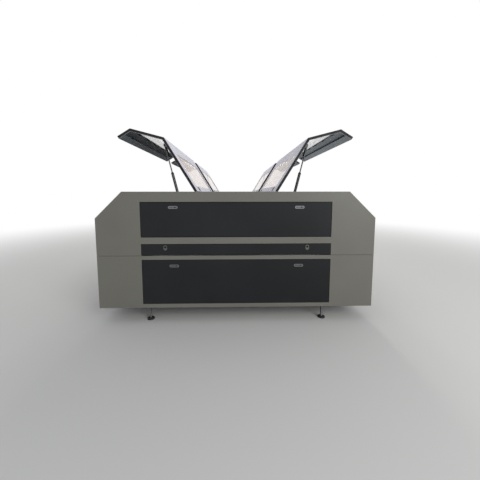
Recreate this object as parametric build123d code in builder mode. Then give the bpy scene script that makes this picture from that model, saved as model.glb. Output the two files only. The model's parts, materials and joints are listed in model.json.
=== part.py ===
from build123d import *
import math
import os

os.makedirs("parts", exist_ok=True)

# Cabinet, in millimetres: X to the right, Y to the rear, Z up from the floor
half_width = 1000.0
body_length = 3350.0
body_height = 846.0
ground_clearance = 120.0
chamfer_width = 193.0
chamfer_height = 188.0
seam_height = 386.0
seam_gap = 2.0
sheet = 2.0
fold = 22.0
bend_radius = 4.0
hood_depth = 224.0

# Doors in the front face, from the cabinet's sides, top and seam
door_side_margin = 319.0
upper_door_drop = 75.0
door_strip = 53.0
flap_height = 79.0
lower_door_margin = 31.0
door_gap = 3.0
door_depth = 18.0
door_corner = 2.5
lip_depth = 16.0
door_pin_inset = 8.0
door_pin_radius = 3.0

# Running clearances between turning or sliding pieces
shaft_play = 0.05
side_play = 0.5

# Slotted latches on the two doors
latch_end_inset = 231.0
upper_latch_drop = 36.0
lower_latch_drop = 43.0
latch_length = 68.0
latch_height = 20.0
latch_proud = 2.0
latch_rim = 4.0
latch_cup_depth = 14.0
latch_cup_wall = 1.0
paddle_thick = 5.0
paddle_play = 1.0
paddle_pivot_depth = 0.5
paddle_pin_radius = 1.5
paddle_button_offset = 15.0

# Quarter-turn locks on the pass-through flap
lock_end_inset = 170.0
lock_drop = 25.0
lock_height = 38.0
lock_width = 26.0
lock_barrel_radius = 8.0
lock_barrel_rise = 5.0
lock_cam_length = 44.0
lock_cam_width = 14.0
lock_key_radius = 4.8

# Lids and their hinges
hinge_x = 309.0
hinge_drop = 4.0
lid_open_angle = 58.7
lid_skirt = 116.0
lid_lip = 60.0
lid_end_gap = 4.0
bridge_width = 240.0
lid_hinge_gap = 9.0
knuckle_radius = 7.0
hinge_pin_radius = 4.0
lid_knuckle = 60.0
spine_knuckle = 30.0
hinge_end_inset = 180.0
hinge_count = 2
window_hinge_border = 60.0
window_bend_border = 126.0
window_outer_border = 105.0
window_middle_border = 75.0
window_corner = 25.0
slope_window_low = 50.0
slope_window_high = 244.0
pane_thick = 4.0
pane_lap = 14.0
spine_depth = 60.0
spine_gap = 9.0

# Gas struts at the outer end of each lid
strut_offset = 40.0
strut_foot_offset = 126.0
strut_foot_drop = 175.0
strut_bend_gap = 44.0
strut_lid_drop = 27.0
strut_tube_radius = 11.0
strut_tube_bevel = 2.0
strut_rod_radius = 5.0
strut_end_gap = 28.0
strut_bottom_gap = 18.0
strut_bore_start = 40.0
strut_eye_radius = 10.0
strut_neck = 14.0
strut_neck_height = 8.0
strut_stud_radius = 4.0
strut_collar_radius = 8.0
bracket_gap = 0.5
bracket_thick = 4.0
bracket_radius = 13.0

# Welded chassis
tube = 60.0
tube_wall = 3.0
frame_drop = 6.0
seat_width = 30.0
seat_length = 100.0
seat_height = 40.0
foot_setback = 70.0
foot_side_inset = 345.0
castor_setback = 230.0
castor_side_inset = 300.0

# Castors and levelling feet
wheel_radius = 45.0
wheel_width = 32.0
wheel_lift = 2.0
wheel_bevel = 9.0
wheel_crown = 20.0
castor_trail = 30.0
castor_turn = 60.0
fork_wall = 3.0
fork_play = 1.5
castor_plate = 4.0
castor_plate_size = 105.0
castor_head_radius = 26.0
castor_head_height = 12.0
kingpin_radius = 6.0
axle_radius = 5.0
axle_boss_radius = 12.0
foot_pad_radius = 27.0
foot_pad_height = 12.0
foot_pad_taper = 40.0
foot_stud_radius = 8.0
foot_nut_radius = 13.0
foot_nut_height = 12.0

# Work table and motion system
rail_side_inset = 260.0
table_rail_gap = 50.0
table_end_gap = 30.0
table_thick = 20.0
table_frame_width = 30.0
slat_pitch = 50.0
slat_thick = 3.0
rail_width = 23.0
rail_height = 20.0
rail_end_gap = 10.0
rail_groove_radius = 4.0
rack_size = 15.0
block_length = 200.0
block_width = 64.0
block_height = 40.0
block_play = 0.5
gantry_rear_gap = 160.0
gantry_front_gap = 242.0
end_stop_length = 24.0
end_stop_play = 1.0
beam_depth = 60.0
beam_height = 80.0
beam_overhang = 60.0
beam_wall = 12.0
beam_slot = 8.0
beam_slot_spacing = 40.0
cross_rail = 15.0
cross_rail_margin = 20.0
motor_size = 60.0
head_width = 120.0
head_play = 0.5
head_end_margin = 90.0
runner_depth = 25.0
runner_height = 50.0
runner_gap = 3.0
head_plate_thick = 10.0
head_plate_rise = 10.0
lens_reach = 30.0
mirror_box_height = 60.0
clamp_half = 24.0
clamp_low = 10.0
clamp_height = 50.0
nozzle_radius = 15.0
nozzle_wall = 3.0
nozzle_tip_radius = 4.0
nozzle_jet_radius = 2.0
nozzle_cone = 26.0
nozzle_gap = 6.0
nozzle_travel = 20.0
beam_path_rise = 9.5

# Laser source in the rear hood
tube_radius = 40.0
tube_length = 1500.0
tube_setback = 85.0
electrode_radius = 14.0
electrode_length = 60.0
tube_taper = 25.0
tube_mirror_gap = 60.0
cradle_width = 40.0
mirror_side_inset = 140.0
mirror_half = 30.0
mirror_post_depth = 40.0
beam_port_radius = 20.0
cover_side_margin = 300.0
cover_rise = 92.0
cover_drop = 86.0
cover_lap = 15.0
cover_corner = 8.0
louvre_length = 160.0
louvre_width = 8.0
louvre_pitch = 60.0
louvre_count = 9

# Exhaust collars, glands, supply and controls
collar_radius = 75.0
collar_length = 50.0
collar_x = 400.0
collar_rise = 180.0
gland_radius = 11.0
gland_nut_radius = 16.0
gland_nut = 6.0
gland_reach = 22.0
gland_pitch = 60.0
gland_count = 2
vent_side_inset = 300.0
vent_length = 120.0
vent_height = 8.0
vent_pitch = 24.0
vent_count = 5
supply_size = (320.0, 220.0, 160.0)
supply_side_inset = 360.0
fin_height = 15.0
fin_thick = 4.0
fin_pitch = 20.0
fin_count = 14
controller_size = (60.0, 250.0, 220.0)
controller_corner = 6.0
panel_length = 190.0
panel_width = 150.0
panel_thick = 3.0
panel_corner = 10.0
panel_centre = 105.0
screen_width = 55.0
screen_length = 95.0
screen_centre = 70.0
screen_depth = 1.0
key_width = 14.0
key_length = 24.0
key_rise = 1.5
key_pitch_across = 20.0
key_pitch_along = 34.0
key_column_count = 3
key_row_count = 4
key_centre = 135.0
stop_centre = 205.0
stop_base_height = 10.0
stop_base_rim = 5.0
stop_cap_height = 9.0
stop_cap_bevel = 2.5
stop_button_radius = 17.0
stop_stem_radius = 8.5
stop_button_travel = 5.0

# Places worked out from the sizes above
latch_reach = latch_proud + 1.0
front_y = -(body_length + collar_length - latch_reach) / 2
rear_y = front_y + body_length
middle_y = (front_y + rear_y) / 2
body_bottom = ground_clearance
body_top = body_bottom + body_height
shoulder_z = body_top - chamfer_height
seam_z = body_bottom + seam_height
hood_foot_z = seam_z + seam_gap
skirt_z = shoulder_z - lid_skirt
bridge_foot_z = skirt_z - door_gap
frame_top = seam_z - frame_drop
slope_length = math.hypot(chamfer_width, chamfer_height)
slope_nx = chamfer_height / slope_length
slope_nz = chamfer_width / slope_length
bulkhead_y = front_y + hood_depth
rear_bulkhead_y = rear_y - hood_depth
inside_half = half_width - sheet

door_half = half_width - door_side_margin
door_gap_half = door_half + door_gap
upper_door_high = body_top - upper_door_drop
flap_low = hood_foot_z + door_gap
flap_high = flap_low + flap_height
upper_door_low = flap_high + door_strip
lower_door_low = body_bottom + lower_door_margin
lower_door_high = seam_z - lower_door_margin
latch_half_spacing = door_half - latch_end_inset
upper_latch_z = upper_door_high - upper_latch_drop
lower_latch_z = lower_door_high - lower_latch_drop
latch_cup_half = latch_height / 2 - latch_rim
recess_height = 2 * (latch_cup_half - latch_cup_wall)
recess_length = latch_length - 2 * latch_rim - 2 * latch_cup_wall
paddle_height = recess_height - 2 * paddle_play
paddle_length = recess_length - 2 * paddle_play
paddle_centre_offset = (paddle_length - paddle_height) / 2
lock_half_spacing = door_half - lock_end_inset
lock_z = flap_high - lock_drop
barrel_z = lock_z + lock_barrel_rise

lid_start_y = bulkhead_y + lid_end_gap
lid_end_y = middle_y - bridge_width / 2 - lid_end_gap
hinge_z = body_top - hinge_drop
lid_bend_u = half_width - chamfer_width - hinge_x
lid_side_u = half_width - hinge_x
strut_y = bulkhead_y + strut_offset
strut_foot_x = hinge_x + strut_foot_offset
strut_foot_z = body_top - strut_foot_drop
strut_lid_reach = lid_bend_u - strut_bend_gap
strut_closed = math.hypot(
    strut_lid_reach - strut_foot_offset, hinge_z - strut_lid_drop - strut_foot_z
)
strut_tube_end = strut_closed - strut_end_gap
strut_rod_length = strut_closed - strut_bore_start - strut_bottom_gap

long_x = inside_half - tube / 2
lower_z = body_bottom + sheet + tube / 2
upper_z = frame_top - tube / 2
foot_top = lower_z - tube / 2
foot_half_spacing = half_width - foot_side_inset
castor_half_spacing = half_width - castor_side_inset
axle_z = wheel_radius + wheel_lift
rail_x = half_width - rail_side_inset
rail_z = frame_top + tube
table_half = rail_x - table_rail_gap
table_top = frame_top + table_thick
beam_y = rear_bulkhead_y - gantry_rear_gap
gantry_travel = beam_y - bulkhead_y - gantry_front_gap
block_low = rail_z + side_play
beam_low = block_low + block_height
beam_top = beam_low + beam_height
beam_path_z = beam_top + beam_path_rise
head_travel = 2 * (table_half - head_end_margin)
head_park_x = -head_travel / 2
beam_front = beam_y - beam_depth / 2
plate_back = beam_front - cross_rail - runner_depth
plate_front = plate_back - head_plate_thick
nozzle_y = plate_front - lens_reach
mirror_x = half_width - mirror_side_inset
cover_half_width = half_width - cover_side_margin
cover_low = hood_foot_z + cover_rise
cover_high = body_top - cover_drop
collar_z = body_bottom + collar_rise
vent_x = half_width - vent_side_inset
supply_x = half_width - supply_side_inset


def across(y):
    # The XZ plane at a given y; a negative extrusion runs rearwards
    return Plane.XZ.offset(-y)


def block(x_range, y_range, z_range, mode=Mode.ADD):
    centre = [sum(span) / 2 for span in (x_range, y_range, z_range)]
    with Locations(tuple(centre)):
        Box(
            abs(x_range[1] - x_range[0]),
            abs(y_range[1] - y_range[0]),
            abs(z_range[1] - z_range[0]),
            mode=mode,
        )


def rod_x(x_range, y, z, radius, mode=Mode.ADD):
    with BuildSketch(Plane.YZ.offset(x_range[0])) as disc:
        with Locations((y, z)):
            Circle(radius)
    extrude(disc.sketch, amount=x_range[1] - x_range[0], mode=mode)


def rod_y(x, y_range, z, radius, mode=Mode.ADD):
    with BuildSketch(across(y_range[0])) as disc:
        with Locations((x, z)):
            Circle(radius)
    extrude(disc.sketch, amount=y_range[0] - y_range[1], mode=mode)


def rod_z(x, y, z_range, radius, mode=Mode.ADD):
    with BuildSketch(Plane.XY.offset(z_range[0])) as disc:
        with Locations((x, y)):
            Circle(radius)
    extrude(disc.sketch, amount=z_range[1] - z_range[0], mode=mode)


def finish(solid, name):
    solid.label = name
    export_step(solid, f"parts/{name}.step")


def handed_copies(part, base):
    # The four copies of a piece that sits at the front right corner
    with BuildPart() as left_front:
        mirror(part, about=Plane.YZ)
    with BuildPart() as right_rear:
        mirror(part, about=across(middle_y))
    with BuildPart() as left_rear:
        mirror(left_front.part, about=across(middle_y))
    finish(part, f"right_front_{base}")
    finish(left_front.part, f"left_front_{base}")
    finish(right_rear.part, f"right_rear_{base}")
    finish(left_rear.part, f"left_rear_{base}")


# End hoods: folded shells of the cabinet's six-sided section
def hood_outline(inset, foot):
    side = half_width - inset
    shoulder = shoulder_z - inset * (1 - slope_nx) / slope_nz
    crown = half_width - chamfer_width - inset * (1 - slope_nz) / slope_nx
    top = body_top - inset
    return [
        (side, foot),
        (side, shoulder),
        (crown, top),
        (-crown, top),
        (-side, shoulder),
        (-side, foot),
    ]


def hood_slab(y, inset, depth, mode):
    with BuildSketch(across(y)) as face:
        with BuildLine():
            Polyline(*hood_outline(inset, hood_foot_z), close=True)
        make_face()
    extrude(face.sketch, amount=-depth, mode=mode)


def folded_edges(hood):
    # The four bends that run along the cabinet, at the shoulders and the crown
    return [
        edge
        for edge in hood.edges().filter_by(Axis.Y)
        if edge.center().Z > hood_foot_z + bend_radius
    ]


def door_opening(low, high):
    # Lips folded inwards round a door, with the door's pivot holes low in them
    with BuildSketch(across(front_y)) as lips:
        with Locations((0, (low + high) / 2)):
            Rectangle(2 * (door_gap_half + sheet), high - low + 2 * sheet)
    extrude(lips.sketch, amount=-lip_depth)
    with BuildSketch(across(front_y)) as hole:
        with Locations((0, (low + high) / 2)):
            Rectangle(2 * door_gap_half, high - low)
    extrude(hole.sketch, amount=-lip_depth, mode=Mode.SUBTRACT)


def pivot_holes(door_low):
    reach = door_gap_half + 2 * sheet
    rod_x(
        (-reach, reach),
        front_y + door_pin_inset,
        door_low + door_pin_inset,
        door_pin_radius + shaft_play,
        Mode.SUBTRACT,
    )


def hood_seats(y):
    # Feet inside the hood's side walls that stand on the chassis
    for side in (-1, 1):
        block(
            (side * (inside_half - seat_width), side * inside_half),
            (y + (hood_depth - seat_length) / 2, y + (hood_depth + seat_length) / 2),
            (frame_top, frame_top + seat_height),
        )


with BuildPart() as front_hood:
    hood_slab(front_y, 0, hood_depth, Mode.ADD)
    fillet(folded_edges(front_hood), bend_radius)
    hood_slab(front_y + sheet, sheet, hood_depth - 2 * sheet, Mode.SUBTRACT)
    door_opening(upper_door_low - door_gap, upper_door_high + door_gap)
    door_opening(hood_foot_z - sheet, flap_high + door_gap)
    # The flap's opening is open at the foot, where the lower panel forms the sill
    block(
        (-door_gap_half - sheet, door_gap_half + sheet),
        (front_y, front_y + lip_depth),
        (hood_foot_z - 2 * sheet, hood_foot_z),
        Mode.SUBTRACT,
    )
    block(
        (-door_gap_half, door_gap_half),
        (front_y, front_y + lip_depth),
        (hood_foot_z, flap_high),
        Mode.SUBTRACT,
    )
    # Material slot through the bulkhead, in line with the flap
    block(
        (-door_gap_half, door_gap_half),
        (bulkhead_y - sheet, bulkhead_y),
        (hood_foot_z, flap_high + door_gap),
        Mode.SUBTRACT,
    )
    pivot_holes(upper_door_low)
    pivot_holes(flap_low)
    hood_seats(front_y)
    # Welded studs that the gas struts turn on
    for side in (-1, 1):
        foot_x = side * strut_foot_x
        eye_half = strut_rod_radius
        rod_y(
            foot_x, (bulkhead_y, strut_y - eye_half - side_play), strut_foot_z, strut_collar_radius
        )
        rod_y(foot_x, (bulkhead_y, strut_y + 2 * eye_half), strut_foot_z, strut_stud_radius)
        rod_y(
            foot_x,
            (strut_y + eye_half + side_play, strut_y + 2 * eye_half),
            strut_foot_z,
            strut_collar_radius,
        )
finish(front_hood.part, "front_hood")

with BuildPart() as rear_hood:
    hood_slab(rear_bulkhead_y, 0, hood_depth, Mode.ADD)
    fillet(folded_edges(rear_hood), bend_radius)
    hood_slab(rear_bulkhead_y + sheet, sheet, hood_depth - 2 * sheet, Mode.SUBTRACT)
    block(
        (-cover_half_width, cover_half_width),
        (rear_y - sheet, rear_y),
        (cover_low, cover_high),
        Mode.SUBTRACT,
    )
    rod_y(
        mirror_x,
        (rear_bulkhead_y, rear_bulkhead_y + sheet),
        beam_path_z,
        beam_port_radius,
        Mode.SUBTRACT,
    )
    hood_seats(rear_bulkhead_y)
    stud_y = rear_bulkhead_y - strut_offset
    for side in (-1, 1):
        foot_x = side * strut_foot_x
        eye_half = strut_rod_radius
        rod_y(
            foot_x,
            (stud_y + eye_half + side_play, rear_bulkhead_y),
            strut_foot_z,
            strut_collar_radius,
        )
        rod_y(foot_x, (stud_y - 2 * eye_half, rear_bulkhead_y), strut_foot_z, strut_stud_radius)
        rod_y(
            foot_x,
            (stud_y - 2 * eye_half, stud_y - eye_half - side_play),
            strut_foot_z,
            strut_collar_radius,
        )
finish(rear_hood.part, "rear_hood")

# Screwed cover over the laser tube's bay, with a row of louvre slots
with BuildPart() as rear_upper_panel:
    with BuildSketch(across(rear_y)) as cover:
        with Locations((0, (cover_low + cover_high) / 2)):
            RectangleRounded(
                2 * (cover_half_width + cover_lap),
                cover_high - cover_low + 2 * cover_lap,
                cover_corner,
            )
            with GridLocations(louvre_pitch, 0, louvre_count, 1):
                Rectangle(louvre_width, louvre_length, mode=Mode.SUBTRACT)
    extrude(cover.sketch, amount=-sheet)
finish(rear_upper_panel.part, "rear_upper_panel")


# Lower end panels, folded round the corners, with a sill along the top
def lower_end_slab(y, depth_sign):
    inner_y = y + depth_sign * sheet
    fold_y = y + depth_sign * fold
    return_y = y + depth_sign * foot_setback
    with BuildSketch(across(min(y, inner_y))) as face:
        with Locations((0, (body_bottom + seam_z) / 2)):
            Rectangle(2 * half_width, seam_height)
    extrude(face.sketch, amount=-sheet)
    for side in (-1, 1):
        block((side * inside_half, side * half_width), sorted((y, return_y)), (body_bottom, seam_z))
    block((-half_width, half_width), sorted((y, fold_y)), (seam_z - sheet, seam_z))
    block((-half_width, half_width), sorted((y, fold_y)), (body_bottom, body_bottom + sheet))


with BuildPart() as front_lower_panel:
    lower_end_slab(front_y, 1)
    door_opening(lower_door_low - door_gap, lower_door_high + door_gap)
    pivot_holes(lower_door_low)
finish(front_lower_panel.part, "front_lower_panel")

with BuildPart() as rear_lower_plate:
    lower_end_slab(rear_y, -1)
    # Vent slots on both sides and the holes of the exhaust collars
    with BuildSketch(across(rear_y - sheet)) as openings:
        for side in (-1, 1):
            with Locations((side * vent_x, collar_z)):
                with GridLocations(0, vent_pitch, 1, vent_count):
                    Rectangle(vent_length, vent_height)
        with Locations((-collar_x, collar_z), (collar_x, collar_z)):
            Circle(collar_radius - sheet)
    extrude(openings.sketch, amount=-sheet, mode=Mode.SUBTRACT)


def exhaust_collar(x):
    with BuildPart() as collar:
        rod_y(x, (rear_y, rear_y + collar_length), collar_z, collar_radius)
        rod_y(x, (rear_y, rear_y + collar_length), collar_z, collar_radius - sheet, Mode.SUBTRACT)
    return collar.part.solid()


def cable_gland(x):
    # A gland with its six-sided nut against the panel, closed by a plug
    with BuildPart() as gland:
        with BuildSketch(across(rear_y)) as nut:
            with Locations((x, collar_z)):
                RegularPolygon(gland_nut_radius, 6)
        extrude(nut.sketch, amount=-gland_nut)
        rod_y(x, (rear_y, rear_y + gland_reach), collar_z, gland_radius)
    return gland.part.solid()


rear_fittings = [rear_lower_plate.part.solid(), exhaust_collar(-collar_x), exhaust_collar(collar_x)]
for place in range(gland_count):
    rear_fittings.append(cable_gland(gland_pitch * (place - (gland_count - 1) / 2)))
finish(Compound(children=rear_fittings), "rear_lower_panel")

# Side skins: a lower one between the end panels and an upper one between the hoods
with BuildPart() as right_side_panel:
    lower_ends = (front_y + foot_setback + seam_gap, rear_y - foot_setback - seam_gap)
    upper_ends = (bulkhead_y + seam_gap, rear_bulkhead_y - seam_gap)
    upper_top = bridge_foot_z
    block((inside_half, half_width), lower_ends, (body_bottom, seam_z))
    block((inside_half - fold, half_width), upper_ends, (hood_foot_z, hood_foot_z + sheet))
    block((inside_half, half_width), upper_ends, (hood_foot_z, upper_top))
    block((inside_half - fold, half_width), upper_ends, (upper_top - sheet, upper_top))
    # A leg under the inner fold stands on the chassis
    leg_x = inside_half - fold
    block((leg_x, leg_x + sheet), upper_ends, (frame_top, hood_foot_z))
with BuildPart() as left_side_panel:
    mirror(right_side_panel.part, about=Plane.YZ)
finish(right_side_panel.part, "right_side_panel")
finish(left_side_panel.part, "left_side_panel")


# Hinges: two to a lid, each a lid knuckle between two knuckles on the spine
def hinge_centres():
    span = lid_end_y - lid_start_y - 2 * hinge_end_inset
    step = span / (hinge_count - 1)
    return [lid_start_y + hinge_end_inset + step * index for index in range(hinge_count)]


with BuildPart() as quarter_knuckles:
    for centre_y in hinge_centres():
        for end in (-1, 1):
            near = centre_y + end * lid_knuckle / 2
            far = near + end * spine_knuckle
            rod_y(hinge_x, sorted((near, far)), hinge_z, knuckle_radius)
            block(
                (hinge_x - spine_gap - sheet, hinge_x),
                sorted((near, far)),
                (hinge_z - knuckle_radius, hinge_z),
            )
        pin_half = lid_knuckle / 2 + spine_knuckle
        rod_y(hinge_x, (centre_y - pin_half, centre_y + pin_half), hinge_z, hinge_pin_radius)
with BuildPart() as half_knuckles:
    add(quarter_knuckles.part)
    mirror(quarter_knuckles.part, about=across(middle_y))

# Fixed spine between the lids, a channel from hood to hood
with BuildPart() as top_spine:
    spine_half = hinge_x - spine_gap
    spine_ends = (bulkhead_y, rear_bulkhead_y)
    with BuildSketch(across(spine_ends[0])) as channel:
        with Locations((0, body_top - spine_depth / 2)):
            Rectangle(2 * spine_half, spine_depth)
        with Locations((0, body_top - spine_depth / 2 - sheet)):
            Rectangle(2 * (spine_half - sheet), spine_depth, mode=Mode.SUBTRACT)
        for side in (-1, 1):
            with Locations((side * (spine_half - fold / 2), body_top - spine_depth + sheet / 2)):
                Rectangle(fold, sheet)
    extrude(channel.sketch, amount=spine_ends[0] - spine_ends[1])
    # Bridge between the front and rear lids, in their own section down to the side panels
    bridge_near = middle_y - bridge_width / 2
    bridge_far = middle_y + bridge_width / 2
    for near, length, depth in (
        (bridge_near, bridge_width, sheet),
        (bridge_near, sheet, fold),
        (bridge_far - sheet, sheet, fold),
    ):
        with BuildSketch(across(near)) as band:
            with BuildLine():
                Polyline(*hood_outline(0, bridge_foot_z), close=True)
            make_face()
            with BuildLine():
                Polyline(*hood_outline(depth, bridge_foot_z), close=True)
            make_face(mode=Mode.SUBTRACT)
        extrude(band.sketch, amount=-length)
    for side in (-1, 1):
        block(
            sorted((side * half_width, side * (half_width - fold))),
            (bridge_near, bridge_far),
            (bridge_foot_z, bridge_foot_z + sheet),
        )
    add(half_knuckles.part)
    mirror(half_knuckles.part, about=Plane.YZ)
finish(top_spine.part, "top_spine")

# Lid section, drawn from the hinge axis: u runs outwards, v up, both turned to the open angle
open_turn = math.radians(lid_open_angle)
lid_u = Vector(math.cos(open_turn), 0, math.sin(open_turn))
lid_v = Vector(-math.sin(open_turn), 0, math.cos(open_turn))
lid_shoulder_v = hinge_drop - chamfer_height
lid_foot_v = lid_shoulder_v - lid_skirt


def lid_section(y):
    return Plane(origin=(hinge_x, y, hinge_z), x_dir=lid_u, z_dir=(0, -1, 0))


def lid_line(inset):
    side = lid_side_u - inset
    shoulder = lid_shoulder_v - inset * (1 - slope_nx) / slope_nz
    bend = lid_bend_u - inset * (1 - slope_nz) / slope_nx
    return [
        (lid_hinge_gap, hinge_drop - inset),
        (bend, hinge_drop - inset),
        (side, shoulder),
        (side, lid_foot_v),
    ]


def lid_band(y, depth, length):
    with BuildSketch(lid_section(y)) as band:
        outer = lid_line(0)
        with BuildLine():
            FilletPolyline(*outer, radius=bend_radius)
            Polyline(outer[-1], *reversed(lid_line(depth)), outer[0])
        make_face()
    extrude(band.sketch, amount=-length)


def top_plane(drop):
    # On the lid's flat panel, u outwards and Y to the rear
    origin = Vector(hinge_x, 0, hinge_z) + lid_v * (hinge_drop - drop)
    return Plane(origin=origin, x_dir=lid_u, z_dir=lid_v)


def slope_plane(drop):
    # On the lid's sloping panel, measured down from the bend
    along = (lid_u * chamfer_width - lid_v * chamfer_height) / slope_length
    normal = lid_u * slope_nx + lid_v * slope_nz
    bend = Vector(hinge_x, 0, hinge_z) + lid_u * lid_bend_u + lid_v * hinge_drop
    return Plane(origin=bend - normal * drop, x_dir=along, z_dir=normal)


def window_slab(plane, low, high, lap, corner, thickness, mode):
    near_y = lid_start_y + window_outer_border
    far_y = lid_end_y - window_middle_border
    with BuildSketch(plane) as window:
        with Locations(((low + high) / 2, (near_y + far_y) / 2)):
            RectangleRounded(high - low + 2 * lap, far_y - near_y + 2 * lap, corner)
    extrude(window.sketch, amount=-thickness, mode=mode)


top_window = (window_hinge_border, lid_bend_u - window_bend_border)
slope_window = (slope_window_low, slope_window_high)
lid_length = lid_end_y - lid_start_y

with BuildPart() as lid:
    lid_band(lid_start_y, sheet, lid_length)
    lid_band(lid_start_y, fold, sheet)
    lid_band(lid_end_y - sheet, fold, sheet)
    with BuildSketch(lid_section(lid_start_y)) as folds:
        with Locations((lid_hinge_gap + sheet / 2, hinge_drop - fold / 2)):
            Rectangle(sheet, fold)
        # The foot turns in and then up, a gutter that stiffens the long edge
        with Locations((lid_side_u - fold / 2, lid_foot_v + sheet / 2)):
            Rectangle(fold, sheet)
        with Locations((lid_side_u - fold + sheet / 2, lid_foot_v + lid_lip / 2)):
            Rectangle(sheet, lid_lip)
    extrude(folds.sketch, amount=-lid_length)
    window_slab(top_plane(0), *top_window, 0, window_corner, sheet, Mode.SUBTRACT)
    window_slab(slope_plane(0), *slope_window, 0, window_corner, sheet, Mode.SUBTRACT)
    # Hinge leaves with their knuckles
    for centre_y in hinge_centres():
        knuckle_half = lid_knuckle / 2 - side_play
        with BuildSketch(lid_section(centre_y - knuckle_half)) as leaf:
            Circle(knuckle_radius)
            with Locations((lid_hinge_gap / 2, -knuckle_radius / 2)):
                Rectangle(lid_hinge_gap, knuckle_radius)
            Circle(hinge_pin_radius + shaft_play, mode=Mode.SUBTRACT)
        extrude(leaf.sketch, amount=-2 * knuckle_half)
    # Strut bracket, hanging from the flat panel beside the rod's eye
    bracket_y = strut_y + strut_rod_radius + bracket_gap
    with BuildSketch(lid_section(bracket_y)) as bracket:
        with Locations((strut_lid_reach, -strut_lid_drop)):
            Circle(bracket_radius)
        with Locations((strut_lid_reach, (hinge_drop - sheet - strut_lid_drop) / 2)):
            Rectangle(2 * bracket_radius, strut_lid_drop + hinge_drop - sheet)
        with Locations((strut_lid_reach, -strut_lid_drop)):
            Circle(strut_stud_radius, mode=Mode.SUBTRACT)
    extrude(bracket.sketch, amount=-bracket_thick)
handed_copies(lid.part, "lid")

with BuildPart() as windows:
    window_slab(top_plane(sheet), *top_window, pane_lap, window_corner, pane_thick, Mode.ADD)
    window_slab(slope_plane(sheet), *slope_window, pane_lap, window_corner, pane_thick, Mode.ADD)
handed_copies(windows.part, "windows")

# Gas struts, drawn along their own line from the foot stud to the lid's pivot
strut_foot = Vector(strut_foot_x, strut_y, strut_foot_z)
lid_pivot = Vector(hinge_x, strut_y, hinge_z) + lid_u * strut_lid_reach - lid_v * strut_lid_drop
strut_open = (lid_pivot - strut_foot).length
strut_line = (lid_pivot - strut_foot).normalized()


def strut_end_plane(distance):
    return Plane(origin=strut_foot + strut_line * distance, x_dir=(0, 1, 0), z_dir=strut_line)


def strut_disc(low, high, radius, mode=Mode.ADD):
    with BuildSketch(strut_end_plane(low)) as disc:
        Circle(radius)
    extrude(disc.sketch, amount=high - low, mode=mode)


def strut_eye(distance, direction):
    # A flat eye with a neck that runs towards the strut's tube or rod
    centre = strut_foot + strut_line * distance
    face = centre - Vector(0, strut_rod_radius, 0)
    with BuildSketch(Plane(origin=face, x_dir=strut_line, z_dir=(0, -1, 0))) as eye:
        Circle(strut_eye_radius)
        with Locations((direction * strut_neck / 2, 0)):
            Rectangle(strut_neck, strut_neck_height)
        Circle(strut_stud_radius + shaft_play, mode=Mode.SUBTRACT)
    extrude(eye.sketch, amount=-2 * strut_rod_radius)


with BuildPart() as strut_cylinder:
    strut_eye(0, 1)
    strut_disc(strut_neck, strut_tube_end, strut_tube_radius)
    chamfer(strut_cylinder.edges().filter_by(GeomType.CIRCLE).sort_by(Axis.Z)[-1], strut_tube_bevel)
    strut_disc(strut_bore_start, strut_tube_end, strut_rod_radius + shaft_play, Mode.SUBTRACT)
handed_copies(strut_cylinder.part, "strut_cylinder")

with BuildPart() as strut_rod:
    strut_eye(strut_open, -1)
    strut_disc(strut_open - strut_rod_length, strut_open - strut_neck, strut_rod_radius)
handed_copies(strut_rod.part, "strut_rod")


# Doors: folded pans with pivot pins low in their sides
def door_pan(low, high):
    with BuildSketch(across(front_y)) as face:
        with Locations((0, (low + high) / 2)):
            Rectangle(2 * door_half, high - low)
    extrude(face.sketch, amount=-door_depth)


def door_hollow(low, high):
    with BuildSketch(across(front_y + sheet)) as hollow:
        with Locations((0, (low + high) / 2)):
            Rectangle(2 * (door_half - sheet), high - low - 2 * sheet)
    extrude(hollow.sketch, amount=-door_depth, mode=Mode.SUBTRACT)


def door_pins(low):
    for side in (-1, 1):
        pin_start = door_half - sheet
        pin_end = door_gap_half + sheet + side_play
        rod_x(
            sorted((side * pin_start, side * pin_end)),
            front_y + door_pin_inset,
            low + door_pin_inset,
            door_pin_radius,
        )


def latch_holes(z):
    with BuildSketch(across(front_y)) as holes:
        with Locations((-latch_half_spacing, z), (latch_half_spacing, z)):
            SlotOverall(latch_length - 2 * latch_rim, 2 * latch_cup_half)
    extrude(holes.sketch, amount=-sheet, mode=Mode.SUBTRACT)


with BuildPart() as upper_door:
    door_pan(upper_door_low, upper_door_high)
    fillet(upper_door.faces().sort_by(Axis.Y)[0].edges(), door_corner)
    door_hollow(upper_door_low, upper_door_high)
    door_pins(upper_door_low)
    latch_holes(upper_latch_z)
finish(upper_door.part, "upper_door")

with BuildPart() as lower_door:
    door_pan(lower_door_low, lower_door_high)
    fillet(lower_door.faces().sort_by(Axis.Y)[0].edges(), door_corner)
    door_hollow(lower_door_low, lower_door_high)
    door_pins(lower_door_low)
    latch_holes(lower_latch_z)
finish(lower_door.part, "lower_door")

with BuildPart() as feed_flap:
    door_pan(flap_low, flap_high)
    fillet(feed_flap.faces().sort_by(Axis.Y)[0].edges(), door_corner)
    door_hollow(flap_low, flap_high)
    door_pins(flap_low)
    for side in (-1, 1):
        rod_y(
            side * lock_half_spacing,
            (front_y, front_y + sheet),
            barrel_z,
            lock_barrel_radius + latch_rim / 2,
            Mode.SUBTRACT,
        )
finish(feed_flap.part, "feed_flap")


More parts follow.
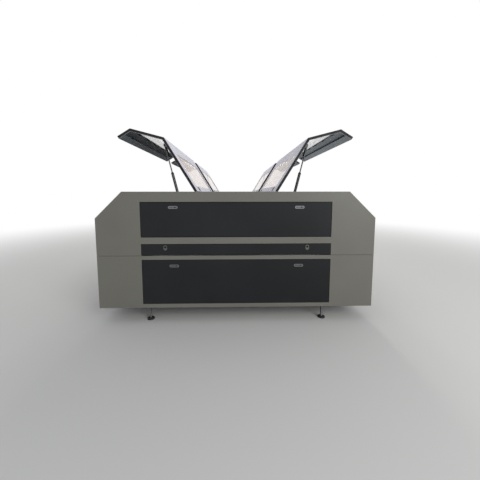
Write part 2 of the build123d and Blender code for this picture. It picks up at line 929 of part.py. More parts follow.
# Latch housings: a slotted bezel on the door's face with a cup behind it
def latch_bodies(z):
    with BuildPart() as housings:
        with BuildSketch(across(front_y - latch_proud)) as bezels:
            with Locations((-latch_half_spacing, z), (latch_half_spacing, z)):
                SlotOverall(latch_length, latch_height)
        extrude(bezels.sketch, amount=-latch_proud)
        with BuildSketch(across(front_y)) as cups:
            with Locations((-latch_half_spacing, z), (latch_half_spacing, z)):
                SlotOverall(latch_length - 2 * latch_rim, 2 * latch_cup_half)
        extrude(cups.sketch, amount=-latch_cup_depth)
        with BuildSketch(across(front_y - latch_proud)) as recesses:
            with Locations((-latch_half_spacing, z), (latch_half_spacing, z)):
                SlotOverall(recess_length, recess_height)
        extrude(
            recesses.sketch, amount=-(latch_proud + latch_cup_depth - sheet), mode=Mode.SUBTRACT
        )
        for side in (-1, 1):
            pivot_x = side * latch_half_spacing - paddle_centre_offset
            rod_z(
                pivot_x,
                front_y + paddle_pivot_depth,
                (z - latch_cup_half, z + latch_cup_half),
                paddle_pin_radius + shaft_play,
                Mode.SUBTRACT,
            )
    return housings.part


# Latch paddles: a flat lever turning on a pin at its left end, with a round key barrel
def latch_paddle(side, z):
    centre_x = side * latch_half_spacing
    pivot_y = front_y + paddle_pivot_depth
    with BuildPart() as paddle:
        with BuildSketch(across(front_y - latch_proud)) as lever:
            with Locations((centre_x, z)):
                SlotOverall(paddle_length, paddle_height)
        extrude(lever.sketch, amount=-paddle_thick)
        rod_y(
            centre_x + paddle_button_offset,
            (front_y - latch_reach, front_y + latch_cup_depth / 2),
            z,
            paddle_height / 2 - side_play,
        )
        pin_half = latch_cup_half - side_play / 2
        rod_z(
            centre_x - paddle_centre_offset, pivot_y, (z - pin_half, z + pin_half), paddle_pin_radius
        )
    return paddle.part


finish(latch_bodies(upper_latch_z), "upper_latch_housings")
finish(latch_bodies(lower_latch_z), "lower_latch_housings")
finish(latch_paddle(-1, upper_latch_z), "upper_left_paddle")
finish(latch_paddle(1, upper_latch_z), "upper_right_paddle")
finish(latch_paddle(-1, lower_latch_z), "lower_left_paddle")
finish(latch_paddle(1, lower_latch_z), "lower_right_paddle")

# Flap locks: an upright slotted plate with a sleeve through the flap, and a barrel with its cam
lock_bore = lock_barrel_radius + shaft_play
cam_y = front_y + door_depth + sheet
with BuildPart() as flap_lock_plates:
    for side in (-1, 1):
        lock_x = side * lock_half_spacing
        with BuildSketch(across(front_y - latch_proud)) as plate:
            with Locations((lock_x, lock_z)):
                SlotOverall(lock_height, lock_width, rotation=90)
        extrude(plate.sketch, amount=-latch_proud)
        sleeve = lock_barrel_radius + latch_rim / 2
        rod_y(lock_x, (front_y, front_y + door_depth), barrel_z, sleeve)
        rod_y(
            lock_x, (front_y - latch_proud, front_y + door_depth), barrel_z, lock_bore, Mode.SUBTRACT
        )
finish(flap_lock_plates.part, "flap_lock_plates")


def lock_barrel(side):
    lock_x = side * lock_half_spacing
    with BuildPart() as barrel:
        rod_y(lock_x, (front_y - latch_proud, cam_y + sheet), barrel_z, lock_barrel_radius)
        # Triangular key drive in the face
        with BuildSketch(across(front_y - latch_proud)) as key:
            with Locations((lock_x, barrel_z)):
                RegularPolygon(lock_key_radius, 3, rotation=90)
        extrude(key.sketch, amount=-latch_rim, mode=Mode.SUBTRACT)
        # The cam points inwards along the flap when it is unlocked
        with BuildSketch(across(cam_y)) as cam:
            tip_x = lock_x - side * (lock_cam_length - lock_cam_width / 2)
            with Locations(((lock_x + tip_x) / 2, barrel_z)):
                SlotOverall(lock_cam_length, lock_cam_width)
        extrude(cam.sketch, amount=-sheet)
    return barrel.part


finish(lock_barrel(-1), "left_lock_barrel")
finish(lock_barrel(1), "right_lock_barrel")

# Chassis of square tube, each tube a piece of its own, butted together
frame_ends = (front_y + foot_setback - tube / 2, rear_y - foot_setback + tube / 2)
frame_length = frame_ends[1] - frame_ends[0]
cross_rows = (
    front_y + foot_setback,
    front_y + castor_setback,
    middle_y,
    rear_y - castor_setback,
    rear_y - foot_setback,
)
bearer_ends = (bulkhead_y + rail_end_gap, rear_bulkhead_y - rail_end_gap)
cross_length = 2 * (long_x - tube / 2)


def square_tube(plane, centre, length):
    with BuildPart() as piece:
        with BuildSketch(plane):
            with Locations(centre):
                Rectangle(tube, tube)
                Rectangle(tube - 2 * tube_wall, tube - 2 * tube_wall, mode=Mode.SUBTRACT)
        extrude(amount=length)
    return piece.part.solid()


def castor_mount(x, y):
    with BuildPart() as plate:
        with BuildSketch(Plane.XY.offset(lower_z - tube / 2 - castor_plate)):
            with Locations((x, y)):
                Rectangle(castor_plate_size, castor_plate_size)
                Circle(kingpin_radius + shaft_play, mode=Mode.SUBTRACT)
        extrude(amount=castor_plate)
    return plate.part.solid()


chassis = []
for side in (-1, 1):
    for z in (lower_z, upper_z):
        chassis.append(square_tube(across(frame_ends[0]), (side * long_x, z), -frame_length))
    for y in cross_rows:
        post_plane = Plane.XY.offset(lower_z + tube / 2)
        chassis.append(square_tube(post_plane, (side * long_x, y), upper_z - lower_z - tube))
    # Bearers under the linear rails
    bearer_z = frame_top + tube / 2
    bearer_length = bearer_ends[1] - bearer_ends[0]
    chassis.append(square_tube(across(bearer_ends[0]), (side * rail_x, bearer_z), -bearer_length))
    for y in (front_y + castor_setback, rear_y - castor_setback):
        chassis.append(castor_mount(side * castor_half_spacing, y))
for y in cross_rows:
    for z in (lower_z, upper_z):
        chassis.append(square_tube(Plane.YZ.offset(-cross_length / 2), (y, z), cross_length))
finish(Compound(children=chassis), "base_frame")

# Sheet floor of the lower cabinet, and the shelves between the rails and the side skins
with BuildPart() as floor_pan:
    pan_low = lower_z + tube / 2
    block((-cross_length / 2, cross_length / 2), frame_ends, (pan_low, pan_low + sheet))
finish(floor_pan.part, "floor_pan")

with BuildPart() as bed_shelves:
    for side in (-1, 1):
        block(
            (side * (rail_x + tube / 2), side * (inside_half - fold - seam_gap)),
            bearer_ends,
            (frame_top, frame_top + sheet),
        )
finish(bed_shelves.part, "bed_shelves")

# Levelling feet, screwed down to the floor
with BuildPart() as levelling_feet:
    for y in (front_y + foot_setback, rear_y - foot_setback):
        for side in (-1, 1):
            x = side * foot_half_spacing
            rod_z(x, y, (0, foot_pad_height / 2), foot_pad_radius)
            with BuildSketch(Plane.XY.offset(foot_pad_height / 2)) as pad:
                with Locations((x, y)):
                    Circle(foot_pad_radius)
            extrude(pad.sketch, amount=foot_pad_height / 2, taper=foot_pad_taper)
            rod_z(x, y, (foot_pad_height / 2, foot_top), foot_stud_radius)
            with BuildSketch(Plane.XY.offset(foot_top - foot_nut_height)) as nut:
                with Locations((x, y)):
                    RegularPolygon(foot_nut_radius, 6)
            extrude(nut.sketch, amount=foot_nut_height)
finish(levelling_feet.part, "levelling_feet")

# Castors: a swivelling fork with its axle, and a wheel
castor_top = foot_top - castor_plate
fork_half = wheel_width / 2 + fork_play
head_low = castor_top - side_play - castor_head_height


def castor_fork(x, y):
    turn = math.radians(castor_turn)
    trail = Vector(math.cos(turn), math.sin(turn), 0)
    cross = Vector(-math.sin(turn), math.cos(turn), 0)
    centre = Vector(x, y, 0)
    with BuildPart() as fork:
        rod_z(x, y, (head_low, castor_top - side_play), castor_head_radius)
        rod_z(x, y, (head_low, foot_top - side_play), kingpin_radius)
        outer = fork_half + fork_wall
        side_face = Plane(origin=centre - cross * outer, x_dir=trail, z_dir=-cross)
        with BuildSketch(side_face) as cheek:
            with BuildLine():
                Polyline(
                    (-castor_head_radius, head_low),
                    (castor_head_radius, head_low),
                    (castor_trail + axle_boss_radius, axle_z),
                    (castor_trail - axle_boss_radius, axle_z),
                    close=True,
                )
            make_face()
            with Locations((castor_trail, axle_z)):
                Circle(axle_boss_radius)
        extrude(cheek.sketch, amount=-2 * outer)
        inner_face = Plane(origin=centre - cross * fork_half, x_dir=trail, z_dir=-cross)
        with BuildSketch(inner_face) as space:
            with Locations((castor_trail, (head_low - fork_wall) / 2)):
                Rectangle(2 * (castor_trail + wheel_radius), head_low - fork_wall)
        extrude(space.sketch, amount=-2 * fork_half, mode=Mode.SUBTRACT)
        with BuildSketch(inner_face) as axle:
            with Locations((castor_trail, axle_z)):
                Circle(axle_radius)
        extrude(axle.sketch, amount=-2 * fork_half)
    return fork.part


def castor_wheel(x, y):
    turn = math.radians(castor_turn)
    trail = Vector(math.cos(turn), math.sin(turn), 0)
    cross = Vector(-math.sin(turn), math.cos(turn), 0)
    hub = Vector(x, y, axle_z) + trail * castor_trail
    half = wheel_width / 2
    rim_radius = wheel_radius - wheel_bevel
    with BuildPart() as wheel:
        with BuildSketch(Plane(origin=hub, x_dir=cross, z_dir=-trail)) as section:
            with BuildLine():
                Polyline(
                    (-half, axle_radius + shaft_play),
                    (-half, rim_radius),
                    (-wheel_crown / 2, wheel_radius),
                    (wheel_crown / 2, wheel_radius),
                    (half, rim_radius),
                    (half, axle_radius + shaft_play),
                    close=True,
                )
            make_face()
        revolve(section.sketch, axis=Axis(hub, cross))
    return wheel.part


castor_places = {
    "front_right": (castor_half_spacing, front_y + castor_setback),
    "front_left": (-castor_half_spacing, front_y + castor_setback),
    "rear_right": (castor_half_spacing, rear_y - castor_setback),
    "rear_left": (-castor_half_spacing, rear_y - castor_setback),
}
for corner, place in castor_places.items():
    finish(castor_fork(*place), f"{corner}_castor_fork")
    finish(castor_wheel(*place), f"{corner}_castor_wheel")

# Knife-slat table on the cross tubes
with BuildPart() as work_table:
    table_ends = (bulkhead_y + table_end_gap, rear_bulkhead_y - table_end_gap)
    table_length = table_ends[1] - table_ends[0]
    slat_count = int((table_length - 2 * table_frame_width) / slat_pitch)
    with BuildSketch(Plane.XY.offset(frame_top)) as grid:
        with Locations((0, middle_y)):
            Rectangle(2 * table_half, table_length)
            Rectangle(
                2 * (table_half - table_frame_width),
                table_length - 2 * table_frame_width,
                mode=Mode.SUBTRACT,
            )
            with GridLocations(0, slat_pitch, 1, slat_count):
                Rectangle(2 * table_half - table_frame_width, slat_thick)
    extrude(grid.sketch, amount=table_thick)
finish(work_table.part, "work_table")

# Linear rails along the bed, with racks and the stops that end the gantry's travel
with BuildPart() as bed_rails:
    for side in (-1, 1):
        with BuildSketch(across(bearer_ends[0])) as rail:
            with Locations((side * rail_x, rail_z + rail_height / 2)):
                Rectangle(rail_width, rail_height)
                with Locations((-rail_width / 2, 0), (rail_width / 2, 0)):
                    Circle(rail_groove_radius, mode=Mode.SUBTRACT)
        extrude(rail.sketch, amount=bearer_ends[0] - bearer_ends[1])
        # Toothed rack on the bearer's outer face
        block(
            (side * (rail_x + tube / 2), side * (rail_x + tube / 2 + rack_size)),
            bearer_ends,
            (rail_z - 2 * rack_size, rail_z - rack_size),
        )
        rear_stop = beam_y + block_length / 2 + end_stop_play
        front_stop = beam_y - gantry_travel - block_length / 2 - end_stop_play
        for near, far in (
            (rear_stop, rear_stop + end_stop_length),
            (front_stop - end_stop_length, front_stop),
        ):
            block(
                (side * (rail_x - block_width / 2), side * (rail_x + tube / 2)),
                (near, far),
                (rail_z, beam_low),
            )
finish(bed_rails.part, "bed_rails")

# Gantry: two runner blocks, end plates, an extruded beam, its cross rail and drive
beam_half = rail_x + beam_overhang
rail_mid_z = (beam_low + beam_top) / 2
with BuildPart() as gantry_beam:
    for side in (-1, 1):
        with BuildSketch(across(beam_y - block_length / 2)) as runner:
            with Locations((side * rail_x, block_low + block_height / 2)):
                Rectangle(block_width, block_height)
            with Locations((side * rail_x, (block_low + rail_z + rail_height + block_play) / 2)):
                Rectangle(
                    rail_width + 2 * block_play,
                    rail_z + rail_height + block_play - block_low,
                    mode=Mode.SUBTRACT,
                )
        extrude(runner.sketch, amount=-block_length)
    # Extruded beam with its slots
    with BuildSketch(Plane.YZ.offset(-beam_half)) as extrusion:
        with Locations((beam_y, rail_mid_z)):
            Rectangle(beam_depth, beam_height)
            Rectangle(beam_depth - beam_wall, beam_height - beam_wall, mode=Mode.SUBTRACT)
        with Locations((beam_y + beam_depth / 2, rail_mid_z)):
            with GridLocations(0, beam_slot_spacing, 1, 2):
                Rectangle(beam_wall / 2, beam_slot, mode=Mode.SUBTRACT)
    extrude(extrusion.sketch, amount=2 * beam_half)
    head_margin = head_width / 2 + cross_rail_margin
    block(
        (head_park_x - head_margin, head_park_x + head_travel + head_margin),
        (beam_front - cross_rail, beam_front),
        (rail_mid_z - cross_rail / 2, rail_mid_z + cross_rail / 2),
    )
    for side in (-1, 1):
        # Motor and gearbox over the rack
        motor_x = rail_x + block_width / 2
        block(
            (side * motor_x, side * (motor_x + motor_size)),
            (beam_y - motor_size / 2, beam_y + motor_size / 2),
            (rail_z - rack_size + side_play, beam_low + motor_size),
        )
    # Drive motor behind the left end, and the turning mirror at the right end
    block(
        (-beam_half, -beam_half + motor_size),
        (beam_y + beam_depth / 2, beam_y + beam_depth / 2 + motor_size),
        (rail_mid_z - motor_size / 2, rail_mid_z + motor_size / 2),
    )
    block(
        (beam_half, mirror_x + mirror_half),
        (beam_y - beam_depth / 2, beam_y + beam_depth / 2),
        (beam_path_z - mirror_half, beam_path_z + mirror_half),
    )
    rod_y(
        mirror_x,
        (beam_y, beam_y + beam_depth / 2),
        beam_path_z,
        beam_port_radius / 2,
        Mode.SUBTRACT,
    )
finish(gantry_beam.part, "gantry_beam")

# Head carriage: a runner on the cross rail, a face plate, the mirror housing and the lens clamp
clamp_top = block_low + clamp_low + clamp_height
head_x_range = (head_park_x - head_width / 2, head_park_x + head_width / 2)
with BuildPart() as head_carriage:
    block(
        head_x_range,
        (plate_back, beam_front - runner_gap),
        (rail_mid_z - runner_height / 2, rail_mid_z + runner_height / 2),
    )
    groove = cross_rail / 2 + head_play
    block(
        head_x_range,
        (beam_front - cross_rail - head_play, beam_front),
        (rail_mid_z - groove, rail_mid_z + groove),
        Mode.SUBTRACT,
    )
    block(head_x_range, (plate_front, plate_back), (block_low, beam_top + head_plate_rise))
    block(
        (head_park_x - mirror_half, head_park_x + mirror_half),
        (nozzle_y - mirror_half, plate_front),
        (beam_path_z, beam_path_z + mirror_box_height),
    )
    block(
        (head_park_x - clamp_half, head_park_x + clamp_half),
        (nozzle_y - clamp_half, plate_front),
        (block_low + clamp_low, clamp_top),
    )
    rod_z(
        head_park_x, nozzle_y, (block_low, clamp_top), nozzle_radius + shaft_play, Mode.SUBTRACT
    )
finish(head_carriage.part, "head_carriage")

# Lens tube and nozzle, standing out of the clamp by as much as it can be lowered
with BuildPart() as laser_nozzle:
    tip_z = table_top + nozzle_gap
    lens_top = clamp_top + nozzle_travel
    bore = nozzle_radius - nozzle_wall
    section_plane = Plane(origin=(head_park_x, nozzle_y, 0), x_dir=(1, 0, 0), z_dir=(0, -1, 0))
    with BuildSketch(section_plane) as tube_half:
        with BuildLine():
            Polyline(
                (nozzle_jet_radius, tip_z),
                (nozzle_tip_radius, tip_z),
                (nozzle_radius, tip_z + nozzle_cone),
                (nozzle_radius, lens_top),
                (bore, lens_top),
                (bore, tip_z + nozzle_cone),
                close=True,
            )
        make_face()
    revolve(tube_half.sketch, axis=Axis((head_park_x, nozzle_y, 0), (0, 0, 1)))
finish(laser_nozzle.part, "laser_nozzle")

# Sealed glass laser tube along the rear hood, on two cradles
tube_y = rear_y - tube_setback
tube_end = mirror_x - tube_mirror_gap
tube_start = tube_end - tube_length
with BuildPart() as laser_tube:
    tube_plane = Plane(origin=(0, tube_y, beam_path_z), x_dir=(1, 0, 0), z_dir=(0, -1, 0))
    with BuildSketch(tube_plane) as glass:
        with BuildLine():
            Polyline(
                (tube_start, 0),
                (tube_start, electrode_radius),
                (tube_start + electrode_length, electrode_radius),
                (tube_start + electrode_length + tube_taper, tube_radius),
                (tube_end - electrode_length - tube_taper, tube_radius),
                (tube_end - electrode_length, electrode_radius),
                (tube_end, electrode_radius),
                (tube_end, 0),
                close=True,
            )
        make_face()
    revolve(glass.sketch, axis=Axis((0, tube_y, beam_path_z), (1, 0, 0)))
finish(laser_tube.part, "laser_tube")

with BuildPart() as tube_cradles:
    cradle_foot = (rear_y - foot_setback - tube / 2, rear_y - foot_setback + tube / 2)
    saddle_z = beam_path_z - tube_radius / 2
    for x in (tube_start + tube_length / 4, tube_end - tube_length / 4):
        with BuildSketch(Plane.YZ.offset(x - cradle_width / 2)) as cradle:
            with BuildLine():
                Polyline(
                    (cradle_foot[0], frame_top),
                    (cradle_foot[1], frame_top),
                    (cradle_foot[1], frame_top + tube),
                    (tube_y + tube_radius, saddle_z),
                    (tube_y - tube_radius, saddle_z),
                    (cradle_foot[0], frame_top + tube),
                    close=True,
                )
            make_face()
            with Locations((tube_y, beam_path_z)):
                Circle(tube_radius, mode=Mode.SUBTRACT)
        extrude(cradle.sketch, amount=cradle_width)
finish(tube_cradles.part, "tube_cradles")

# First mirror, on a pillar at the tube's output end
with BuildPart() as first_mirror_mount:
    mirror_span = (mirror_x - mirror_half, mirror_x + mirror_half)
    post_half = mirror_post_depth / 2
    block(mirror_span, (tube_y - post_half, tube_y + post_half), (frame_top, beam_path_z))
    block(
        mirror_span,
        (tube_y - mirror_half, tube_y + mirror_half),
        (beam_path_z - mirror_half, beam_path_z + mirror_half),
    )
    port = beam_port_radius / 2
    rod_x((mirror_x - mirror_half, mirror_x), tube_y, beam_path_z, port, Mode.SUBTRACT)
    rod_y(mirror_x, (tube_y - mirror_half, tube_y), beam_path_z, port, Mode.SUBTRACT)
finish(first_mirror_mount.part, "first_mirror_mount")

# High-voltage supply on the rear cross tubes, with a finned top
supply_low = lower_z + tube / 2 + sheet
supply_y = (rear_y - castor_setback + rear_y - foot_setback) / 2
with BuildPart() as laser_power_supply:
    block(
        (supply_x - supply_size[0] / 2, supply_x + supply_size[0] / 2),
        (supply_y - supply_size[1] / 2, supply_y + supply_size[1] / 2),
        (supply_low, supply_low + supply_size[2]),
    )
    with BuildSketch(Plane.XY.offset(supply_low + supply_size[2])) as fins:
        with Locations((supply_x, supply_y)):
            with GridLocations(fin_pitch, 0, fin_count, 1):
                Rectangle(fin_thick, supply_size[1] - fin_pitch)
    extrude(fins.sketch, amount=fin_height)
finish(laser_power_supply.part, "laser_power_supply")

# Motion controller on the inner face of the middle post
controller_x = long_x - tube / 2
controller_z = (lower_z + upper_z) / 2
with BuildPart() as motion_controller:
    block(
        (controller_x - controller_size[0], controller_x),
        (middle_y - controller_size[1] / 2, middle_y + controller_size[1] / 2),
        (controller_z - controller_size[2] / 2, controller_z + controller_size[2] / 2),
    )
    fillet(motion_controller.edges().filter_by(Axis.Z), controller_corner)
finish(motion_controller.part, "motion_controller")


# Control panel on the right slope of the front hood, with its emergency stop
def hood_slope_plane(drop):
    along = Vector(chamfer_width, 0, -chamfer_height) / slope_length
    normal = Vector(slope_nx, 0, slope_nz)
    bend = Vector(half_width - chamfer_width, front_y + hood_depth / 2, body_top)
    return Plane(origin=bend - normal * drop, x_dir=along, z_dir=normal)


with BuildPart() as control_panel:
    with BuildSketch(hood_slope_plane(0)) as plate:
        with Locations((panel_centre, 0)):
            RectangleRounded(panel_width, panel_length, panel_corner)
    extrude(plate.sketch, amount=panel_thick)
    with BuildSketch(hood_slope_plane(-panel_thick)) as screen:
        with Locations((screen_centre, 0)):
            Rectangle(screen_width, screen_length)
    extrude(screen.sketch, amount=-screen_depth, mode=Mode.SUBTRACT)
    with BuildSketch(hood_slope_plane(-panel_thick)) as keys:
        with Locations((key_centre, 0)):
            with GridLocations(
                key_pitch_across, key_pitch_along, key_column_count, key_row_count
            ):
                Rectangle(key_width, key_length)
    extrude(keys.sketch, amount=key_rise)
    with BuildSketch(hood_slope_plane(0)) as stop_base:
        with Locations((stop_centre, 0)):
            Circle(stop_button_radius + stop_base_rim)
            Circle(stop_stem_radius + shaft_play, mode=Mode.SUBTRACT)
    extrude(stop_base.sketch, amount=stop_base_height)
finish(control_panel.part, "control_panel")

with BuildPart() as emergency_stop:
    # The stem clears the hood's skin when the cap is pressed down to its base
    stem_low = side_play + stop_button_travel
    cap_low = stop_base_height + side_play + stop_button_travel
    with BuildSketch(hood_slope_plane(-stem_low)) as stem:
        with Locations((stop_centre, 0)):
            Circle(stop_stem_radius)
    extrude(stem.sketch, amount=cap_low - stem_low)
    with BuildSketch(hood_slope_plane(-cap_low)) as cap:
        with Locations((stop_centre, 0)):
            Circle(stop_button_radius)
    extrude(cap.sketch, amount=stop_cap_height)
    crown_edge = emergency_stop.edges().filter_by(GeomType.CIRCLE).sort_by(Axis.Z)[-1]
    chamfer(crown_edge, stop_cap_bevel)
finish(emergency_stop.part, "emergency_stop")
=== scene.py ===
import json
import math

import bmesh
import bpy
import numpy as np
from mathutils import Euler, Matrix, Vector


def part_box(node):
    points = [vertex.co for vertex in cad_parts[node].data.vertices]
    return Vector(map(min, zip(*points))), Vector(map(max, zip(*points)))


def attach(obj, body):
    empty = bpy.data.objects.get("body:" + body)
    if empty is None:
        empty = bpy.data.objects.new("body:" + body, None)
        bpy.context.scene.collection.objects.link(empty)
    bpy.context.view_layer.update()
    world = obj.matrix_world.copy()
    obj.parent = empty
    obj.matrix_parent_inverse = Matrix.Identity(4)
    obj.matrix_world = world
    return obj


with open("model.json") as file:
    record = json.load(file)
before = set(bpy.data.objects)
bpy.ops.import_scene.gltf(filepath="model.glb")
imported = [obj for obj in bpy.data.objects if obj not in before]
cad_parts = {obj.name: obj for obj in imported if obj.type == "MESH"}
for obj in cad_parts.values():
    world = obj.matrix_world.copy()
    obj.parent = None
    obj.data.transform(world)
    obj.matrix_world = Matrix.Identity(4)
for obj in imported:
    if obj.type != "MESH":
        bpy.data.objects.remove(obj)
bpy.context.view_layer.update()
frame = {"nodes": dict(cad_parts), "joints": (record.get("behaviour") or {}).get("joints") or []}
nodes = frame["nodes"]
joints = {joint["name"]: joint for joint in frame["joints"]}
print("frame loaded,", len(nodes), "nodes")


alongY = np.array([0, 1.0, 0])
upZ = np.array([0, 0, 1.0])


# Mesh kit. A part is a pair (points, faces), and a piece is several parts in one mesh
def gridFaces(rows, columns, closeRows, closeColumns):
    # Quads between neighbours of a grid counted row by row; a closed way joins its end to its start
    r = np.arange(rows if closeRows else rows - 1)[:, None]
    c = np.arange(columns if closeColumns else columns - 1)[None, :]
    r2 = (r + 1) % rows
    c2 = (c + 1) % columns
    corners = (r * columns + c, r2 * columns + c, r2 * columns + c2, r * columns + c2)
    return np.stack([np.broadcast_to(k, (r.size, c.size)).ravel() for k in corners], axis=1)


def surface(points, closeRows=False, closeColumns=False):
    rows, columns = points.shape[:2]
    return points.reshape(-1, 3), gridFaces(rows, columns, closeRows, closeColumns)


def carried(profile, path, sideways, upwards, closed=False):
    # point(i, j) = path(i) + profile(j).x * sideways(i) + profile(j).y * upwards(i)
    profile = np.asarray(profile, float)
    path = np.asarray(path, float)
    sideways = np.broadcast_to(sideways, path.shape)
    upwards = np.broadcast_to(upwards, path.shape)
    rings = (
        path[:, None, :]
        + profile[None, :, :1] * sideways[:, None, :]
        + profile[None, :, 1:] * upwards[:, None, :]
    )
    if not closed:
        # Each open end is closed by a ring gathered at its own middle
        first = np.broadcast_to(rings[:1].mean(axis=1, keepdims=True), rings[:1].shape)
        last = np.broadcast_to(rings[-1:].mean(axis=1, keepdims=True), rings[-1:].shape)
        rings = np.concatenate([first, rings, last])
    return surface(rings, closeRows=closed, closeColumns=True)


def turned(profile, centre, axis, count=24):
    # point(i, j) = centre + along(j) * axis + radius(j) * (cos t(i), sin t(i)) across the axis
    profile = np.asarray(profile, float)
    axis = np.asarray(axis, float) / np.linalg.norm(axis)
    helper = upZ if abs(axis[2]) < 0.9 else np.array([1.0, 0, 0])
    across = np.cross(helper, axis)
    across /= np.linalg.norm(across)
    other = np.cross(axis, across)
    t = np.linspace(0, 2 * np.pi, count, endpoint=False)
    spokes = np.cos(t)[:, None] * across + np.sin(t)[:, None] * other
    points = (
        np.asarray(centre, float)
        + profile[None, :, :1] * axis
        + profile[None, :, 1:] * spokes[:, None, :]
    )
    return surface(points, closeRows=True)


def roundedRectangle(width, height, corner, steps=3):
    # Four quarter turns of the corner's radius about the corners' centres
    quarter = np.linspace(0, np.pi / 2, steps + 1)
    t = (quarter[None, :] + np.arange(4)[:, None] * np.pi / 2).ravel()
    cx = np.repeat([1, -1, -1, 1], steps + 1) * (width / 2 - corner)
    cy = np.repeat([1, 1, -1, -1], steps + 1) * (height / 2 - corner)
    return np.stack([cx + corner * np.cos(t), cy + corner * np.sin(t)], axis=1), t


def softBlock(centre, size, edge, axes=np.eye(3), steps=2):
    # A rounded rectangle carried along the third axis, drawn in by the edge at both ends
    axes = np.asarray(axes, float)
    outline, _ = roundedRectangle(size[0], size[1], edge, steps)
    inner, _ = roundedRectangle(size[0] - 2 * edge, size[1] - 2 * edge, edge * 0.05, steps)
    t = np.linspace(0, np.pi / 2, steps + 1)
    share = np.concatenate([np.sin(t), np.sin(t)[::-1]])
    along = np.concatenate([-size[2] / 2 + edge * (1 - np.cos(t)), size[2] / 2 - edge * (1 - np.cos(t))[::-1]])
    rings = inner[None] * (1 - share[:, None, None]) + outline[None] * share[:, None, None]
    points = (
        np.asarray(centre, float)
        + rings[..., :1] * axes[0]
        + rings[..., 1:] * axes[1]
        + along[:, None, None] * axes[2]
    )
    ends = [np.broadcast_to(points[k].mean(axis=0), points[:1].shape) for k in (0, -1)]
    return surface(np.concatenate([ends[0], points, ends[1]]), closeColumns=True)


def copies(part, places):
    # The same part moved to each place
    points, faces = part
    places = np.asarray(places, float).reshape(-1, 3)
    moved = (places[:, None, :] + points[None]).reshape(-1, 3)
    counted = faces[None] + (np.arange(len(places)) * len(points))[:, None, None]
    return moved, counted.reshape(-1, 4)


def tidyMesh(mesh):
    # Poles and gathered end rings are welded, and faces turned outwards
    shape = bmesh.new()
    shape.from_mesh(mesh)
    bmesh.ops.remove_doubles(shape, verts=shape.verts, dist=1e-6)
    bmesh.ops.dissolve_degenerate(shape, edges=shape.edges, dist=1e-7)
    bmesh.ops.recalc_face_normals(shape, faces=shape.faces)
    shape.to_mesh(mesh)
    shape.free()


def makePiece(name, parts, finishName, body, smooth=35):
    # Quads of all parts in one mesh, shaded smooth below the given angle and riding on its body
    offset = np.cumsum([0] + [len(points) for points, _ in parts[:-1]])
    points = np.concatenate([points for points, _ in parts])
    faces = np.concatenate([faces + start for (_, faces), start in zip(parts, offset)])
    mesh = bpy.data.meshes.new(name)
    mesh.vertices.add(len(points))
    mesh.vertices.foreach_set("co", points.astype(np.float32).ravel())
    mesh.loops.add(faces.size)
    mesh.loops.foreach_set("vertex_index", faces.astype(np.int32).ravel())
    mesh.polygons.add(len(faces))
    mesh.polygons.foreach_set("loop_start", np.arange(0, faces.size, 4, dtype=np.int32))
    mesh.update(calc_edges=True)
    tidyMesh(mesh)
    mesh.polygons.foreach_set("use_smooth", np.ones(len(mesh.polygons), bool))
    mesh.set_sharp_from_angle(angle=math.radians(smooth))
    mesh.materials.append(finish[finishName])
    piece = bpy.data.objects.new(name, mesh)
    bpy.context.scene.collection.objects.link(piece)
    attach(piece, body)
    return piece


# Material kit
def newMaterial(name):
    material = bpy.data.materials.new(name)
    material.use_nodes = True
    tree = material.node_tree
    return material, tree, tree.nodes["Principled BSDF"]


def srgb(red, green, blue):
    # 0 to 255 as seen on a screen, to linear light
    values = np.array([red, green, blue]) / 255
    linear = np.where(values <= 0.04045, values / 12.92, ((values + 0.055) / 1.055) ** 2.4)
    return (*linear.tolist(), 1)


def mathNode(tree, operation, *sockets):
    node = tree.nodes.new("ShaderNodeMath")
    node.operation = operation
    for source, target in zip(sockets, node.inputs):
        tree.links.new(source, target)
    return node.outputs["Value"]


def objectPlace(tree):
    # The sockets X, Y and Z of a point in the object's own frame
    place = tree.nodes.new("ShaderNodeTexCoord")
    split = tree.nodes.new("ShaderNodeSeparateXYZ")
    tree.links.new(place.outputs["Object"], split.inputs["Vector"])
    return split.outputs


def noise(tree, scale, detail=2.0, stretch=(1, 1, 1), turn=(0, 0, 0)):
    place = tree.nodes.new("ShaderNodeTexCoord")
    mapping = tree.nodes.new("ShaderNodeMapping")
    mapping.inputs["Scale"].default_value = stretch
    mapping.inputs["Rotation"].default_value = turn
    cloud = tree.nodes.new("ShaderNodeTexNoise")
    cloud.inputs["Scale"].default_value = scale
    cloud.inputs["Detail"].default_value = detail
    tree.links.new(place.outputs["Object"], mapping.inputs["Vector"])
    tree.links.new(mapping.outputs["Vector"], cloud.inputs["Vector"])
    return cloud.outputs["Fac"]


def spread(tree, value, low, high, start=0.35, end=0.65):
    # The middle of a noise's range, spread over low to high
    ranged = tree.nodes.new("ShaderNodeMapRange")
    ranged.inputs["From Min"].default_value = start
    ranged.inputs["From Max"].default_value = end
    ranged.inputs["To Min"].default_value = low
    ranged.inputs["To Max"].default_value = high
    tree.links.new(value, ranged.inputs["Value"])
    return ranged.outputs["Result"]


def mixColours(tree, share, first, second):
    mixed = tree.nodes.new("ShaderNodeMix")
    mixed.data_type = "RGBA"
    for socket, colour in ((mixed.inputs[6], first), (mixed.inputs[7], second)):
        if isinstance(colour, tuple):
            socket.default_value = colour
        else:
            tree.links.new(colour, socket)
    tree.links.new(share, mixed.inputs[0])
    return mixed.outputs[2]


# Scale and detail of the clouds in a coat's sheen, a plastic's colour and a plastic's sheen
sheenClouds = (9, 4)
plasticClouds = (14, 3)
plasticSheen = (40, 3)

# Distances of the finest relief: a coat's or a plastic's skin, and the grain of bare metal
skinDepth = 0.0002
grainDepth = 0.0001


